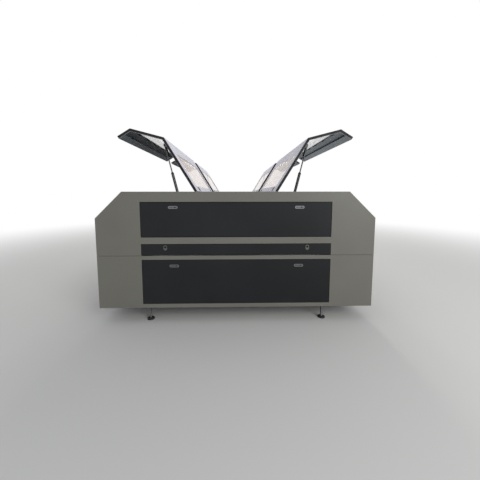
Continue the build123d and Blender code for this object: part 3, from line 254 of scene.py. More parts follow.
def addBump(tree, shader, height, distance, strength):
    bump = tree.nodes.new("ShaderNodeBump")
    bump.inputs["Distance"].default_value = distance
    bump.inputs["Strength"].default_value = strength
    tree.links.new(height, bump.inputs["Height"])
    tree.links.new(bump.outputs["Normal"], shader.inputs["Normal"])


def painted(name, settings):
    # Powder coat: soft clouds of tint, a patchy sheen and a fine orange-peel skin
    material, tree, shader = newMaterial(name)
    clouds = spread(tree, noise(tree, settings["cloudScale"], 3), 0, 1)
    tree.links.new(mixColours(tree, clouds, settings["colour"], settings["shade"]), shader.inputs["Base Color"])
    tree.links.new(spread(tree, noise(tree, *sheenClouds), *settings["gloss"]), shader.inputs["Roughness"])
    shader.inputs["Specular IOR Level"].default_value = settings["specular"]
    addBump(tree, shader, noise(tree, settings["peel"], 2), skinDepth, settings["peelDepth"])
    return material


def metal(name, settings):
    # Bare metal: brushed lines along one axis, or an even grain where the stretch is even
    material, tree, shader = newMaterial(name)
    lines = noise(tree, settings["grain"], 4, settings["stretch"])
    tone = mixColours(tree, spread(tree, lines, 0, 1), settings["colour"], settings["shade"])
    tree.links.new(tone, shader.inputs["Base Color"])
    tree.links.new(spread(tree, lines, *settings["gloss"]), shader.inputs["Roughness"])
    shader.inputs["Metallic"].default_value = 1.0
    addBump(tree, shader, lines, grainDepth, settings["depth"])
    return material


def moulded(name, settings):
    # Plastic or rubber: an even colour with a grained skin
    material, tree, shader = newMaterial(name)
    clouds = spread(tree, noise(tree, *plasticClouds), 0, 1)
    tree.links.new(mixColours(tree, clouds, settings["colour"], settings["shade"]), shader.inputs["Base Color"])
    tree.links.new(spread(tree, noise(tree, *plasticSheen), *settings["gloss"]), shader.inputs["Roughness"])
    shader.inputs["Specular IOR Level"].default_value = settings["specular"]
    addBump(tree, shader, noise(tree, settings["grain"], 2), skinDepth, settings["depth"])
    return material


def litAndShadedLidPaint(name, settings):
    # One grey paint in two tones: the outside lightened and tinted lavender as a painted reflection of bright sky
    # and backlight, the inside a plain grey. A face is inside where its normal points at the section's middle
    material, tree, shader = newMaterial(name)
    place = tree.nodes.new("ShaderNodeTexCoord")
    away = tree.nodes.new("ShaderNodeVectorMath")
    away.operation = "SUBTRACT"
    away.inputs[1].default_value = tuple(lidPoints(settings["side"], *lidShape["middle"], 0.0))
    flat = tree.nodes.new("ShaderNodeVectorMath")
    flat.operation = "MULTIPLY"
    flat.inputs[1].default_value = (1, 0, 1)
    facing = tree.nodes.new("ShaderNodeVectorMath")
    facing.operation = "DOT_PRODUCT"
    tree.links.new(place.outputs["Object"], away.inputs[0])
    tree.links.new(away.outputs["Vector"], flat.inputs[0])
    tree.links.new(flat.outputs["Vector"], facing.inputs[0])
    tree.links.new(place.outputs["Normal"], facing.inputs[1])
    # Share of the outside, which takes the painted reflection
    outside = spread(tree, facing.outputs["Value"], 0, 1, -settings["facingBlend"], settings["facingBlend"])
    clouds = spread(tree, noise(tree, settings["cloudScale"], 3), 0, 1)
    light = mixColours(tree, clouds, settings["outside"], settings["outsideShade"])
    dark = mixColours(tree, clouds, settings["inside"], settings["insideShade"])
    tree.links.new(mixColours(tree, outside, dark, light), shader.inputs["Base Color"])
    tree.links.new(spread(tree, noise(tree, *sheenClouds), *settings["gloss"]), shader.inputs["Roughness"])
    shader.inputs["Specular IOR Level"].default_value = settings["specular"]
    addBump(tree, shader, noise(tree, settings["peel"], 2), skinDepth, settings["peelDepth"])
    return material


# Where a lid's own axes u (outwards) and v (up) stand at rest, from its hinge
lidShape = {
    "bend": 0.498,
    "side": 0.691,
    "shoulder": -0.184,
    "foot": -0.300,
    "top": 0.004,
    "middle": (0.42, -0.13),
    "hingeGap": 0.009,
    "sheet": 0.002,
    "fold": 0.022,
    "lip": 0.060,
    "topWindow": (0.060, 0.372),
    "slopeWindow": (0.050, 0.244),
    "paneLap": 0.014,
    "windowCorner": 0.025,
}
rightHinge = joints["right_front_lid_hinge"]
hingeX, _, hingeZ = rightHinge["pos_m"]
lidTurn = math.radians(rightHinge["range_deg"][1])


def lidPoints(side, u, v, y):
    # x = side * (hinge x + u cos a - v sin a), z = hinge z + u sin a + v cos a
    u, v, y = np.broadcast_arrays(np.asarray(u, float), np.asarray(v, float), np.asarray(y, float))
    x = side * (hingeX + u * math.cos(lidTurn) - v * math.sin(lidTurn))
    z = hingeZ + u * math.sin(lidTurn) + v * math.cos(lidTurn)
    return np.stack([x, y, z], axis=-1)


def lidVectors(side, u, v):
    return lidPoints(side, u, v, 0.0) - lidPoints(side, 0.0, 0.0, 0.0)


def zincPlate(name, settings):
    # Zinc-plated sheet: flat crystals with their own tone, a few millimetres across
    material, tree, shader = newMaterial(name)
    place = tree.nodes.new("ShaderNodeTexCoord")
    cells = tree.nodes.new("ShaderNodeTexVoronoi")
    cells.inputs["Scale"].default_value = settings["spangle"]
    tree.links.new(place.outputs["Object"], cells.inputs["Vector"])
    split = tree.nodes.new("ShaderNodeSeparateColor")
    tree.links.new(cells.outputs["Color"], split.inputs["Color"])
    tone = mixColours(tree, split.outputs["Red"], settings["bright"], settings["dull"])
    tree.links.new(tone, shader.inputs["Base Color"])
    tree.links.new(spread(tree, split.outputs["Green"], *settings["gloss"], 0, 1), shader.inputs["Roughness"])
    shader.inputs["Metallic"].default_value = 1.0
    addBump(tree, shader, noise(tree, settings["grain"], 2), grainDepth, settings["depth"])
    return material


def clearSheet(name, settings):
    # Acrylic or glass: tinted through its thickness, with faint smears in the sheen
    material, tree, shader = newMaterial(name)
    shader.inputs["Transmission Weight"].default_value = settings["through"]
    shader.inputs["IOR"].default_value = settings["ior"]
    smear = noise(tree, settings["smearScale"], 5, settings["smearStretch"])
    tree.links.new(spread(tree, smear, *settings["gloss"]), shader.inputs["Roughness"])
    tint = mixColours(tree, spread(tree, smear, 0, 1), settings["tint"], settings["tintShade"])
    if "top" in settings:
        # Inwards of the lid's bend, on the top panes, the pane is more solid and peach: a painted warm reflection
        top = settings["top"]
        across = mathNode(tree, "ABSOLUTE", objectPlace(tree)["X"])
        inwards = spread(tree, across, 1, 0, top["reach"] - top["blend"], top["reach"])
        tint = mixColours(tree, inwards, tint, top["tint"])
        for socket, key in (("Transmission Weight", "through"), ("Alpha", "solid")):
            tree.links.new(spread(tree, inwards, settings[key], top[key], 0, 1), shader.inputs[socket])
    tree.links.new(tint, shader.inputs["Base Color"])
    return material


def belowBlack(name, settings):
    # Zinc studs over black pads, parted at a height; the studs' metal is darkened as painted shade under the body
    material, tree, shader = newMaterial(name)
    height, blend = settings["height"], settings["blend"]
    upper = spread(tree, objectPlace(tree)["Z"], 0, 1, height, height + blend)
    grain = spread(tree, noise(tree, settings["spots"], 3), 0, 1)
    zinc = mixColours(tree, grain, settings["zinc"], settings["shadeDarkenedZincTone"])
    tree.links.new(mixColours(tree, upper, settings["black"], zinc), shader.inputs["Base Color"])
    tree.links.new(upper, shader.inputs["Metallic"])
    tree.links.new(spread(tree, upper, *settings["gloss"], 0, 1), shader.inputs["Roughness"])
    addBump(tree, shader, noise(tree, settings["grain"], 2), skinDepth, settings["depth"])
    return material


def gantryFinish(name, settings):
    # Brushed aluminium, with the motors black where they stand outside the beam's ends and behind it
    material, tree, shader = newMaterial(name)
    point = objectPlace(tree)
    masks = (
        # A way of the object's own frame, its share below and above a place, and that place
        (mathNode(tree, "ABSOLUTE", point["X"]), 0, 1, settings["motorX"]),
        (point["Z"], 1, 0, settings["motorTop"]),
        (point["X"], 1, 0, -settings["driveX"]),
        (point["Y"], 0, 1, settings["driveY"]),
    )
    blend = settings["blend"]
    beyond, low, left, behind = [
        spread(tree, value, start, end, at - blend, at + blend) for value, start, end, at in masks
    ]
    motors = mathNode(tree, "MULTIPLY", beyond, low)
    drive = mathNode(tree, "MULTIPLY", left, behind)
    black = mathNode(tree, "MAXIMUM", motors, drive)
    lines = noise(tree, settings["grain"], 4, settings["stretch"])
    bright = mixColours(tree, spread(tree, lines, 0, 1), settings["bright"], settings["dull"])
    tree.links.new(mixColours(tree, black, bright, settings["black"]), shader.inputs["Base Color"])
    tree.links.new(spread(tree, black, settings["metallic"], 0, 0, 1), shader.inputs["Metallic"])
    tree.links.new(spread(tree, lines, *settings["gloss"]), shader.inputs["Roughness"])
    addBump(tree, shader, lines, grainDepth, settings["depth"])
    return material


# The lids' paint, lit and shaded: a painted reflection lightens the outside, and the inside stays a plain grey
litAndShadedLidFinish = {
    "outside": srgb(227, 226, 236), "outsideShade": srgb(220, 219, 228), "inside": srgb(130, 137, 142),
    "insideShade": srgb(121, 128, 133), "cloudScale": 1.5, "gloss": (0.5, 0.62), "specular": 0.1, "peel": 700,
    "peelDepth": 0.12, "facingBlend": 0.001,
}

# Every finish, under the function that makes it. A pair of numbers is the range that a noise runs over
finishes = {
    painted: {
        "cabinetPaint": {
            "colour": srgb(119, 118, 111), "shade": srgb(112, 110, 103), "cloudScale": 1.3,
            "gloss": (0.42, 0.48), "specular": 0.3, "peel": 750, "peelDepth": 0.14,
        },
        "doorPaint": {
            "colour": srgb(40, 41, 43), "shade": srgb(34, 35, 36), "cloudScale": 1.6, "gloss": (0.38, 0.5),
            "specular": 0.15, "peel": 900, "peelDepth": 0.12,
        },
        "framePaint": {
            "colour": srgb(70, 72, 74), "shade": srgb(58, 60, 62), "cloudScale": 5, "gloss": (0.45, 0.6),
            "specular": 0.3, "peel": 400, "peelDepth": 0.3,
        },
        "strutPaint": {
            "colour": srgb(22, 22, 24), "shade": srgb(28, 28, 30), "cloudScale": 20, "gloss": (0.2, 0.3),
            "specular": 0.5, "peel": 900, "peelDepth": 0.05,
        },
        "housingPaint": {
            "colour": srgb(142, 146, 148), "shade": srgb(130, 134, 138), "cloudScale": 8, "gloss": (0.35, 0.5),
            "specular": 0.35, "peel": 600, "peelDepth": 0.2,
        },
        "hingeBlack": {
            "colour": srgb(28, 28, 30), "shade": srgb(36, 36, 38), "cloudScale": 20, "gloss": (0.42, 0.56),
            "specular": 0.3, "peel": 700, "peelDepth": 0.1,
        },
    },
    metal: {
        "strutRodSteel": {
            "colour": srgb(78, 78, 80), "shade": srgb(60, 60, 62), "grain": 300, "stretch": (1, 1, 1),
            "gloss": (0.12, 0.22), "depth": 0.05,
        },
        "latchZinc": {
            "colour": srgb(132, 132, 134), "shade": srgb(112, 112, 114), "grain": 260, "stretch": (1, 1, 1),
            "gloss": (0.3, 0.44), "depth": 0.1,
        },
        "leverZinc": {
            "colour": srgb(104, 104, 107), "shade": srgb(88, 88, 91), "grain": 260, "stretch": (1, 1, 1),
            "gloss": (0.28, 0.4), "depth": 0.1,
        },
        "lockPlateZinc": {
            "colour": srgb(108, 108, 106), "shade": srgb(90, 90, 88), "grain": 260, "stretch": (1, 1, 1),
            "gloss": (0.32, 0.46), "depth": 0.1,
        },
        "lockSteel": {
            "colour": srgb(46, 45, 44), "shade": srgb(34, 33, 33), "grain": 400, "stretch": (1, 1, 1),
            "gloss": (0.35, 0.5), "depth": 0.1,
        },
        "slatAluminium": {
            "colour": srgb(200, 201, 203), "shade": srgb(160, 160, 160), "grain": 60, "stretch": (0.15, 1, 1),
            "gloss": (0.3, 0.5), "depth": 0.2,
        },
        "beamAluminium": {
            "colour": srgb(190, 191, 193), "shade": srgb(170, 171, 173), "grain": 300, "stretch": (0.04, 1, 1),
            "gloss": (0.28, 0.4), "depth": 0.15,
        },
        "railSteel": {
            "colour": srgb(180, 180, 182), "shade": srgb(150, 150, 152), "grain": 500, "stretch": (1, 0.02, 1),
            "gloss": (0.18, 0.3), "depth": 0.1,
        },
        "nozzleBrass": {
            "colour": srgb(206, 172, 106), "shade": srgb(176, 142, 84), "grain": 600, "stretch": (1, 1, 0.05),
            "gloss": (0.2, 0.34), "depth": 0.1,
        },
        "screwZinc": {
            "colour": srgb(150, 150, 150), "shade": srgb(126, 126, 126), "grain": 500, "stretch": (1, 1, 1),
            "gloss": (0.3, 0.44), "depth": 0.1,
        },
        "darkSteel": {
            "colour": srgb(74, 74, 76), "shade": srgb(56, 56, 58), "grain": 400, "stretch": (1, 1, 1),
            "gloss": (0.3, 0.44), "depth": 0.1,
        },
    },
    moulded: {
        "blackRubber": {
            "colour": srgb(24, 24, 25), "shade": srgb(34, 34, 35), "gloss": (0.55, 0.75), "specular": 0.3,
            "grain": 500, "depth": 0.35,
        },
        "wheelNylon": {
            "colour": srgb(30, 30, 31), "shade": srgb(40, 40, 41), "gloss": (0.35, 0.5), "specular": 0.4,
            "grain": 300, "depth": 0.2,
        },
        "controllerPlastic": {
            "colour": srgb(48, 49, 52), "shade": srgb(56, 57, 60), "gloss": (0.4, 0.55), "specular": 0.4,
            "grain": 700, "depth": 0.25,
        },
        "panelPlastic": {
            "colour": srgb(38, 39, 42), "shade": srgb(45, 46, 49), "gloss": (0.25, 0.4), "specular": 0.45,
            "grain": 900, "depth": 0.1,
        },
        "stopRed": {
            "colour": srgb(190, 22, 20), "shade": srgb(172, 16, 16), "gloss": (0.2, 0.35), "specular": 0.5,
            "grain": 900, "depth": 0.05,
        },
        "screenBlue": {
            "colour": srgb(18, 26, 36), "shade": srgb(22, 30, 42), "gloss": (0.04, 0.1), "specular": 0.5,
            "grain": 900, "depth": 0.01,
        },
        "keyGrey": {
            "colour": srgb(172, 174, 176), "shade": srgb(162, 164, 166), "gloss": (0.35, 0.5), "specular": 0.4,
            "grain": 900, "depth": 0.1,
        },
        "keyGreen": {
            "colour": srgb(58, 142, 84), "shade": srgb(50, 130, 76), "gloss": (0.35, 0.5), "specular": 0.4,
            "grain": 900, "depth": 0.1,
        },
        "stopYellow": {
            "colour": srgb(222, 180, 36), "shade": srgb(210, 168, 30), "gloss": (0.3, 0.45), "specular": 0.4,
            "grain": 900, "depth": 0.08,
        },
    },
    litAndShadedLidPaint: {
        "rightLidLitAndShadedPaint": {"side": 1, **litAndShadedLidFinish},
        "leftLidLitAndShadedPaint": {"side": -1, **litAndShadedLidFinish},
    },
    zincPlate: {
        "zincSteel": {
            "bright": srgb(196, 197, 199), "dull": srgb(158, 160, 163), "spangle": 220, "gloss": (0.28, 0.48),
            "grain": 500, "depth": 0.1,
        },
    },
    clearSheet: {
        "windowAcrylic": {
            "through": 0.7, "ior": 1.49, "smearScale": 4, "smearStretch": (1, 1, 1), "gloss": (0.0, 0.03),
            "tint": srgb(242, 236, 233), "tintShade": srgb(238, 230, 226), "solid": 0.3,
            # The top panes' peach colour and their more solid share are a painted warm reflection
            "top": {"reach": 0.585, "blend": 0.01, "tint": srgb(240, 212, 198), "through": 0.35, "solid": 0.55},
        },
        "tubeGlass": {
            "through": 0.9, "ior": 1.47, "smearScale": 12, "smearStretch": (0.2, 1, 1), "gloss": (0.01, 0.05),
            "tint": srgb(236, 226, 230), "tintShade": srgb(228, 214, 220),
        },
    },
    belowBlack: {
        "footFinish": {
            # The studs' metal is written dark: painted shade under the body
            "height": 0.0122, "blend": 0.0005, "black": srgb(26, 26, 27), "zinc": srgb(120, 120, 122),
            "shadeDarkenedZincTone": srgb(92, 92, 94), "spots": 300, "gloss": (0.7, 0.38), "grain": 400, "depth": 0.2,
        },
    },
    gantryFinish: {
        "gantryMetal": {
            "motorX": 0.7718, "motorTop": 0.6606, "driveX": 0.7395, "driveY": 1.2976,
            "blend": 0.0001, "bright": srgb(196, 197, 199), "dull": srgb(176, 177, 179), "black": srgb(32, 32, 34),
            "metallic": 0.9, "grain": 300, "stretch": (0.04, 1, 1), "gloss": (0.3, 0.45), "depth": 0.15,
        },
    },
}

print("making finishes")
finish = {
    name: make(name, settings) for make, group in finishes.items() for name, settings in group.items()
}

print("dressing the frame's nodes")
corners = [(end, hand) for end in ("front", "rear") for hand in ("right", "left")]
dressing = {
    "cabinetPaint": [
        "front_hood", "rear_hood", "front_lower_panel", "rear_lower_panel", "rear_upper_panel",
        "left_side_panel", "right_side_panel", "top_spine", "bed_shelves",
    ],
    "doorPaint": ["upper_door", "feed_flap", "lower_door"],
    "lockPlateZinc": ["flap_lock_plates"],
    "latchZinc": ["upper_latch_housings", "lower_latch_housings"],
    "leverZinc": ["upper_left_paddle", "upper_right_paddle", "lower_left_paddle", "lower_right_paddle"],
    "lockSteel": ["left_lock_barrel", "right_lock_barrel"],
    "framePaint": ["base_frame"],
    "footFinish": ["levelling_feet"],
    "gantryMetal": ["gantry_beam"],
    "zincSteel": ["floor_pan"] + [f"{e}_{h}_castor_fork" for e, h in corners],
    "wheelNylon": [f"{e}_{h}_castor_wheel" for e, h in corners],
    "strutPaint": [f"{h}_{e}_strut_cylinder" for e, h in corners],
    "strutRodSteel": [f"{h}_{e}_strut_rod" for e, h in corners],
    "windowAcrylic": [f"{h}_{e}_windows" for e, h in corners],
    # Lids: one grey paint, with a painted reflection on the outside
    "rightLidLitAndShadedPaint": ["right_front_lid", "right_rear_lid"],
    "leftLidLitAndShadedPaint": ["left_front_lid", "left_rear_lid"],
    "slatAluminium": ["work_table"],
    "railSteel": ["bed_rails"],
    "beamAluminium": ["head_carriage", "tube_cradles", "first_mirror_mount"],
    "nozzleBrass": ["laser_nozzle"],
    "tubeGlass": ["laser_tube"],
    "housingPaint": ["laser_power_supply"],
    "controllerPlastic": ["motion_controller"],
    "panelPlastic": ["control_panel"],
    "stopRed": ["emergency_stop"],
}
for finishName, names in dressing.items():
    for name in names:
        slots = nodes[name].data.materials
        slots.clear()
        slots.append(finish[finishName])
bare = sorted(set(nodes) - {name for names in dressing.values() for name in names})
print("nodes without a finish:", bare)


# Black seals on the lids' ends, which face the hoods and each other, and on their inner lips
rimSettings = {
    "thick": 0.0016, "width": 0.020, "edge": 0.0015, "hingeClear": 0.004, "footClear": 0.001,
    "lipRadius": 0.0028, "lipClear": 0.003,
}


def lidEnds(end):
    # Lowest and highest y of the lid's sheet
    low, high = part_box(f"right_{end}_lid")
    return low.y, high.y


def sealBand(side, y, thick):
    # A band between the section's outline and the same outline drawn in by the seal's width
    s = lidShape
    slopeLength = math.hypot(s["side"] - s["bend"], s["top"] - s["shoulder"])
    nu = (s["top"] - s["shoulder"]) / slopeLength
    nv = (s["side"] - s["bend"]) / slopeLength
    rows = []
    for step in (rimSettings["edge"], rimSettings["width"]):
        sideU = s["side"] - step
        shoulder = s["shoulder"] - step * (1 - nu) / nv
        bend = s["bend"] - step * (1 - nv) / nu
        start = (s["hingeGap"] + rimSettings["hingeClear"], s["top"] - step)
        foot = (sideU, s["foot"] + rimSettings["footClear"])
        rows.append([start, (bend, s["top"] - step), (sideU, shoulder), foot])
    outer, inner = np.array(rows[0]), np.array(rows[1])
    # The ring of four lines round the band, at both faces of the seal
    lines = [(outer, y), (outer, y + thick), (inner, y + thick), (inner, y)]
    points = np.stack([lidPoints(side, line[:, 0], line[:, 1], at) for line, at in lines], axis=1)
    first = np.broadcast_to(points[:1].mean(axis=1, keepdims=True), points[:1].shape)
    last = np.broadcast_to(points[-1:].mean(axis=1, keepdims=True), points[-1:].shape)
    return surface(np.concatenate([first, points, last]), closeColumns=True)


def lipBead(side, u, v, ends):
    # A round rubber bead along the top edge of the lid's gutter
    t = np.linspace(0, 2 * np.pi, 10, endpoint=False)
    profile = rimSettings["lipRadius"] * np.stack([np.cos(t), np.sin(t)], axis=1)
    clear = rimSettings["lipClear"]
    path = lidPoints(side, u, v, np.linspace(ends[0] + clear, ends[1] - clear, 3))
    return carried(profile, path, lidVectors(side, 1, 0), lidVectors(side, 0, 1))


for end, hand in corners:
    side = 1 if hand == "right" else -1
    low, high = lidEnds(end)
    s = lidShape
    parts = [
        sealBand(side, low, -rimSettings["thick"]),
        sealBand(side, high, rimSettings["thick"]),
        lipBead(side, s["side"] - s["fold"] + s["sheet"] / 2, s["foot"] + s["lip"], (low, high)),
    ]
    makePiece(f"{hand}_{end}_lidSeal", parts, "blackRubber", f"{hand}_{end}_lid")
print("lid seals made")

# Gaskets round the panes inside the lids, and the turn clips that hold the panes
gasketSettings = {
    "width": 0.007, "height": 0.0015, "drop": 0.006,
    "clip": (0.014, 0.030, 0.005), "clipEdge": 0.002, "clipPitch": 0.19, "clipMargin": 0.05, "clipOffset": 0.009,
    "clipScrew": [(-0.0046, 0), (-0.0046, 0.003), (-0.0036, 0.0044), (0.002, 0.0044), (0.002, 0)],
}


def slopeFrame(side):
    s = lidShape
    along = lidVectors(side, s["side"] - s["bend"], s["shoulder"] - s["top"])
    along /= np.linalg.norm(along)
    normal = lidVectors(side, s["top"] - s["shoulder"], s["side"] - s["bend"])
    normal /= np.linalg.norm(normal)
    bend = lidPoints(side, s["bend"], s["top"], 0.0)
    return bend, along, normal


def paneEnds(end):
    # Lowest and highest y of the openings, which the panes overlap all round
    low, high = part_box(f"right_{end}_windows")
    return low.y + lidShape["paneLap"], high.y - lidShape["paneLap"]


def windowLoop(side, where, ends, grow=0.0):
    # A rounded rectangle on the panel: its points, the ways outwards in the panel, and the panel's normal
    s = lidShape
    if where == "top":
        origin = lidPoints(side, 0.0, s["top"], 0.0)
        along, normal = lidVectors(side, 1, 0), lidVectors(side, 0, 1)
        low, high = s["topWindow"]
    else:
        origin, along, normal = slopeFrame(side)
        low, high = s["slopeWindow"]
    near, far = ends
    outline, t = roundedRectangle(high - low + 2 * grow, far - near + 2 * grow, s["windowCorner"], 6)
    centre = origin + along * (low + high) / 2 + np.array([0, (near + far) / 2, 0])
    path = centre + outline[:, :1] * along + outline[:, 1:] * alongY
    outwards = np.cos(t)[:, None] * along + np.sin(t)[:, None] * alongY
    return path, outwards, normal


def gasket(side, where, ends, drop, rise):
    # A low domed strip round the pane's edge, on the inner face of the panel
    w = gasketSettings["width"]
    x = np.array([-0.5, -0.35, 0, 0.35, 0.5]) * w
    y = np.array([0, 0.75, 1, 0.75, 0]) * rise
    profile = np.stack([np.append(x, [0.5 * w, -0.5 * w]), np.append(y, [-0.3 * rise, -0.3 * rise])], axis=1)
    path, outwards, normal = windowLoop(side, where, ends, lidShape["paneLap"])
    return carried(profile, path - normal * drop, outwards, -normal, closed=True)


def clips(side, where, ends):
    # Turn clips along the panes' long sides, inside the lid
    s = gasketSettings
    path, outwards, normal = windowLoop(side, where, ends)
    low, high = path[:, 1].min() + s["clipMargin"], path[:, 1].max() - s["clipMargin"]
    count = int((high - low) / s["clipPitch"]) + 1
    places = np.linspace(low, high, count)
    parts = []
    along = outwards[0]
    for edge in (path[0], path[len(path) // 2]):
        way = 1 if np.dot(edge - path.mean(axis=0), along) > 0 else -1
        centre = np.array([edge[0], 0, edge[2]]) - normal * s["clipOffset"] + along * way * s["clipOffset"]
        block = softBlock(centre, s["clip"], s["clipEdge"], (alongY, along, normal))
        screw = turned(s["clipScrew"], centre - normal * s["clipEdge"], normal, 10)
        spots = np.stack([np.zeros(count), places, np.zeros(count)], axis=1)
        parts += [copies(block, spots), copies(screw, spots)]
    return parts


for end, hand in corners:
    side = 1 if hand == "right" else -1
    ends = paneEnds(end)
    drop = gasketSettings["drop"]
    rings = [gasket(side, where, ends, drop, gasketSettings["height"]) for where in ("top", "slope")]
    makePiece(f"{hand}_{end}_gaskets", rings, "blackRubber", f"{hand}_{end}_lid")
    held = clips(side, "top", ends) + clips(side, "slope", ends)
    makePiece(f"{hand}_{end}_clips", held, "blackRubber", f"{hand}_{end}_lid")
print("window gaskets and clips made")


def screwHead(place, axis, radius):
    # A low dome round a sunk socket: height and radius along the outline, turned about the screw's axis
    outline = [(-0.3, 0), (-0.3, 1), (0.2, 1), (0.5, 0.74), (0.56, 0.5), (0.2, 0.44), (0.2, 0)]
    return turned(np.array(outline) * radius, place, axis, 10)


def grid(xs, ys, zs):
    # Every meeting of the three lists of places
    return np.stack(np.meshgrid(xs, ys, zs, indexing="ij"), axis=-1).reshape(-1, 3)


# Small screws, at every meeting of their lists of places
cabinetTop = 0.966
screwSettings = {
    "spineScrews": {
        "radius": 0.0042, "axis": (0, 0, 1),
        "places": grid((-0.27, 0.27), np.linspace(-1.4, 1.35, 12), (cabinetTop,)),
    },
    "hoodScrews": {
        "radius": 0.0042, "axis": (0, 0, 1),
        "places": grid(np.linspace(-0.7, 0.7, 6), (-1.51, 1.465), (cabinetTop,)),
    },
    "coverScrews": {
        "radius": 0.0045, "axis": (0, 1, 0),
        "places": np.concatenate(
            [grid(np.linspace(-0.7, 0.7, 7), (1.6535,), (0.6, 0.88)), grid((-0.7, 0.7), (1.6535,), (0.74,))]
        ),
    },
    "rearPanelScrews": {
        "radius": 0.0042, "axis": (0, 1, 0),
        "places": grid(np.linspace(-0.96, 0.96, 7), (1.6515,), (0.14, 0.485)),
    },
    "rightSideScrews": {
        "radius": 0.0038, "axis": (1, 0, 0),
        "places": grid((1.0,), np.linspace(-1.55, 1.5, 9), (0.145, 0.635)),
    },
    "leftSideScrews": {
        "radius": 0.0038, "axis": (-1, 0, 0),
        "places": grid((-1.0,), np.linspace(-1.55, 1.5, 9), (0.145, 0.635)),
    },
}
for name, screw in screwSettings.items():
    head = screwHead((0, 0, 0), screw["axis"], screw["radius"])
    makePiece(name, [copies(head, screw["places"])], "screwZinc", "cabinet")
print("cabinet screws made")

# Bolts sunk in the linear rails, flush so that the blocks run over them
boltSettings = {
    "outline": [(-0.001, 0), (-0.001, 0.0042), (0.0002, 0.0042), (0.0002, 0)],
    "bed": grid((-0.74, 0.74), np.linspace(-1.36, 1.34, 26), (0.58,)),
    "cross": grid(np.linspace(-0.66, 0.66, 12), (1.2225,), (0.6405,)),
}
bolted = (("railBolts", "bed", (0, 0, 1), "cabinet"), ("crossRailBolts", "cross", (0, -1, 0), "gantry"))
for name, run, axis, body in bolted:
    bolt = turned(boltSettings["outline"], (0, 0, 0), axis, 10)
    makePiece(name, [copies(bolt, boltSettings[run])], "darkSteel", body)

# Hinge leaves, screwed to the spine and to the lids
leafSettings = {
    "thick": 0.002, "edge": 0.0008, "length": 0.058, "spine": (0.262, 0.298), "lid": (0.016, 0.052),
    "screwPitch": 0.018, "screwRadius": 0.0035, "inset": 0.180,
}


def leaf(origin, across, normal, low, high):
    # A thin plate between two reaches from the hinge, with three screws along it
    s = leafSettings
    centre = origin + across * (low + high) / 2 + normal * s["thick"] / 2
    axes = (across, alongY, normal)
    plate = softBlock(centre, (high - low, s["length"], s["thick"]), s["edge"], axes)
    spots = grid((0,), (-s["screwPitch"], 0, s["screwPitch"]), (0,))
    return [plate, copies(screwHead(centre + normal * s["thick"] / 2, normal, s["screwRadius"]), spots)]


for end, hand in corners:
    side = 1 if hand == "right" else -1
    low, high = lidEnds(end)
    lidLeaves, spineLeaves = [], []
    for y in (low + leafSettings["inset"], high - leafSettings["inset"]):
        lidOrigin = lidPoints(side, 0.0, lidShape["top"], y)
        lidLeaves += leaf(lidOrigin, lidVectors(side, 1, 0), lidVectors(side, 0, 1), *leafSettings["lid"])
        spineOrigin = np.array([0, y, cabinetTop])
        spineLeaves += leaf(spineOrigin, np.array([side, 0, 0.0]), upZ, *leafSettings["spine"])
    makePiece(f"{hand}_{end}_lidLeaves", lidLeaves, "hingeBlack", f"{hand}_{end}_lid")
    makePiece(f"{hand}_{end}_spineLeaves", spineLeaves, "hingeBlack", "cabinet")
print("hinge leaves made")

# Gas struts: a guide collar on the tube, the lid's bracket arm and its nut
strutSettings = {
    "foot": (0.435, 0.791),
    "pivot": (0.454, -0.027),
    "tubeEnd": 0.3302,
    "collar": [
        (-0.002, 0.0058), (-0.002, 0.0114), (0.004, 0.0114), (0.0105, 0.0086), (0.0115, 0.0076), (0.0115, 0.0058),
    ],
    "arm": (0.104, 0.022, 0.004),
    "armEdge": 0.0015,
    "armStart": 0.034,
    "armPlane": 0.0136,
    "spacer": [(0.0094, 0), (0.0094, 0.009), (0.0118, 0.009), (0.0118, 0)],
    "nut": [
        (0.0154, 0), (0.0154, 0.007), (0.0186, 0.007), (0.0194, 0.006), (0.0194, 0.0042), (0.0212, 0.0038),
        (0.0212, 0),
    ],
    "washer": [(0.0049, 0), (0.0049, 0.0075), (0.006, 0.0075), (0.0068, 0.006), (0.0068, 0)],
}
for end, hand in corners:
    side = 1 if hand == "right" else -1
    s = strutSettings
    cylinderLow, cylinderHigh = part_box(f"{hand}_{end}_strut_cylinder")
    y = (cylinderLow.y + cylinderHigh.y) / 2
    inwards = 1 if end == "front" else -1
    foot = np.array([side * s["foot"][0], y, s["foot"][1]])
    pivot = lidPoints(side, *s["pivot"], y)
    line = (pivot - foot) / np.linalg.norm(pivot - foot)
    across = np.array([line[2], 0, -line[0]])
    middle = np.array([0, inwards, 0.0])
    collar = turned(s["collar"] + s["collar"][:1], foot + line * s["tubeEnd"], line, 20)
    makePiece(f"{hand}_{end}_strutCollar", [collar], "blackRubber", f"{hand}_{end}_strut_cylinder")
    armCentre = pivot - line * s["armStart"] + middle * s["armPlane"]
    arm = softBlock(armCentre, s["arm"], s["armEdge"], (line, across, middle))
    held = [arm, turned(s["spacer"], pivot, middle, 16), turned(s["nut"], pivot, middle, 6)]
    makePiece(f"{hand}_{end}_strutBracket", held, "hingeBlack", f"{hand}_{end}_lid")
    washer = turned(s["washer"], pivot, -middle, 16)
    makePiece(f"{hand}_{end}_strutWasher", [washer], "darkSteel", f"{hand}_{end}_strut_rod")
print("strut fittings made")

# Latch buttons: a dark round barrel in each lever
buttonSettings = {
    "offset": 0.015, "front": -1.7015, "z": {"upper": 0.855, "lower": 0.432}, "x": 0.450,
    "outline": [
        (-0.002, 0), (-0.002, 0.0052), (0.0001, 0.0052), (0.0004, 0.0046), (0.0004, 0.0016), (-0.0006, 0.0014),
        (-0.0006, 0),
    ],
}
for level in ("upper", "lower"):
    for hand, side in (("left", -1), ("right", 1)):
        s = buttonSettings
        place = (side * s["x"] + s["offset"], s["front"], s["z"][level])
        button = turned(s["outline"], place, (0, -1, 0), 20)
        makePiece(f"{level}_{hand}_latchButton", [button], "blackRubber", f"{level}_{hand}_paddle")

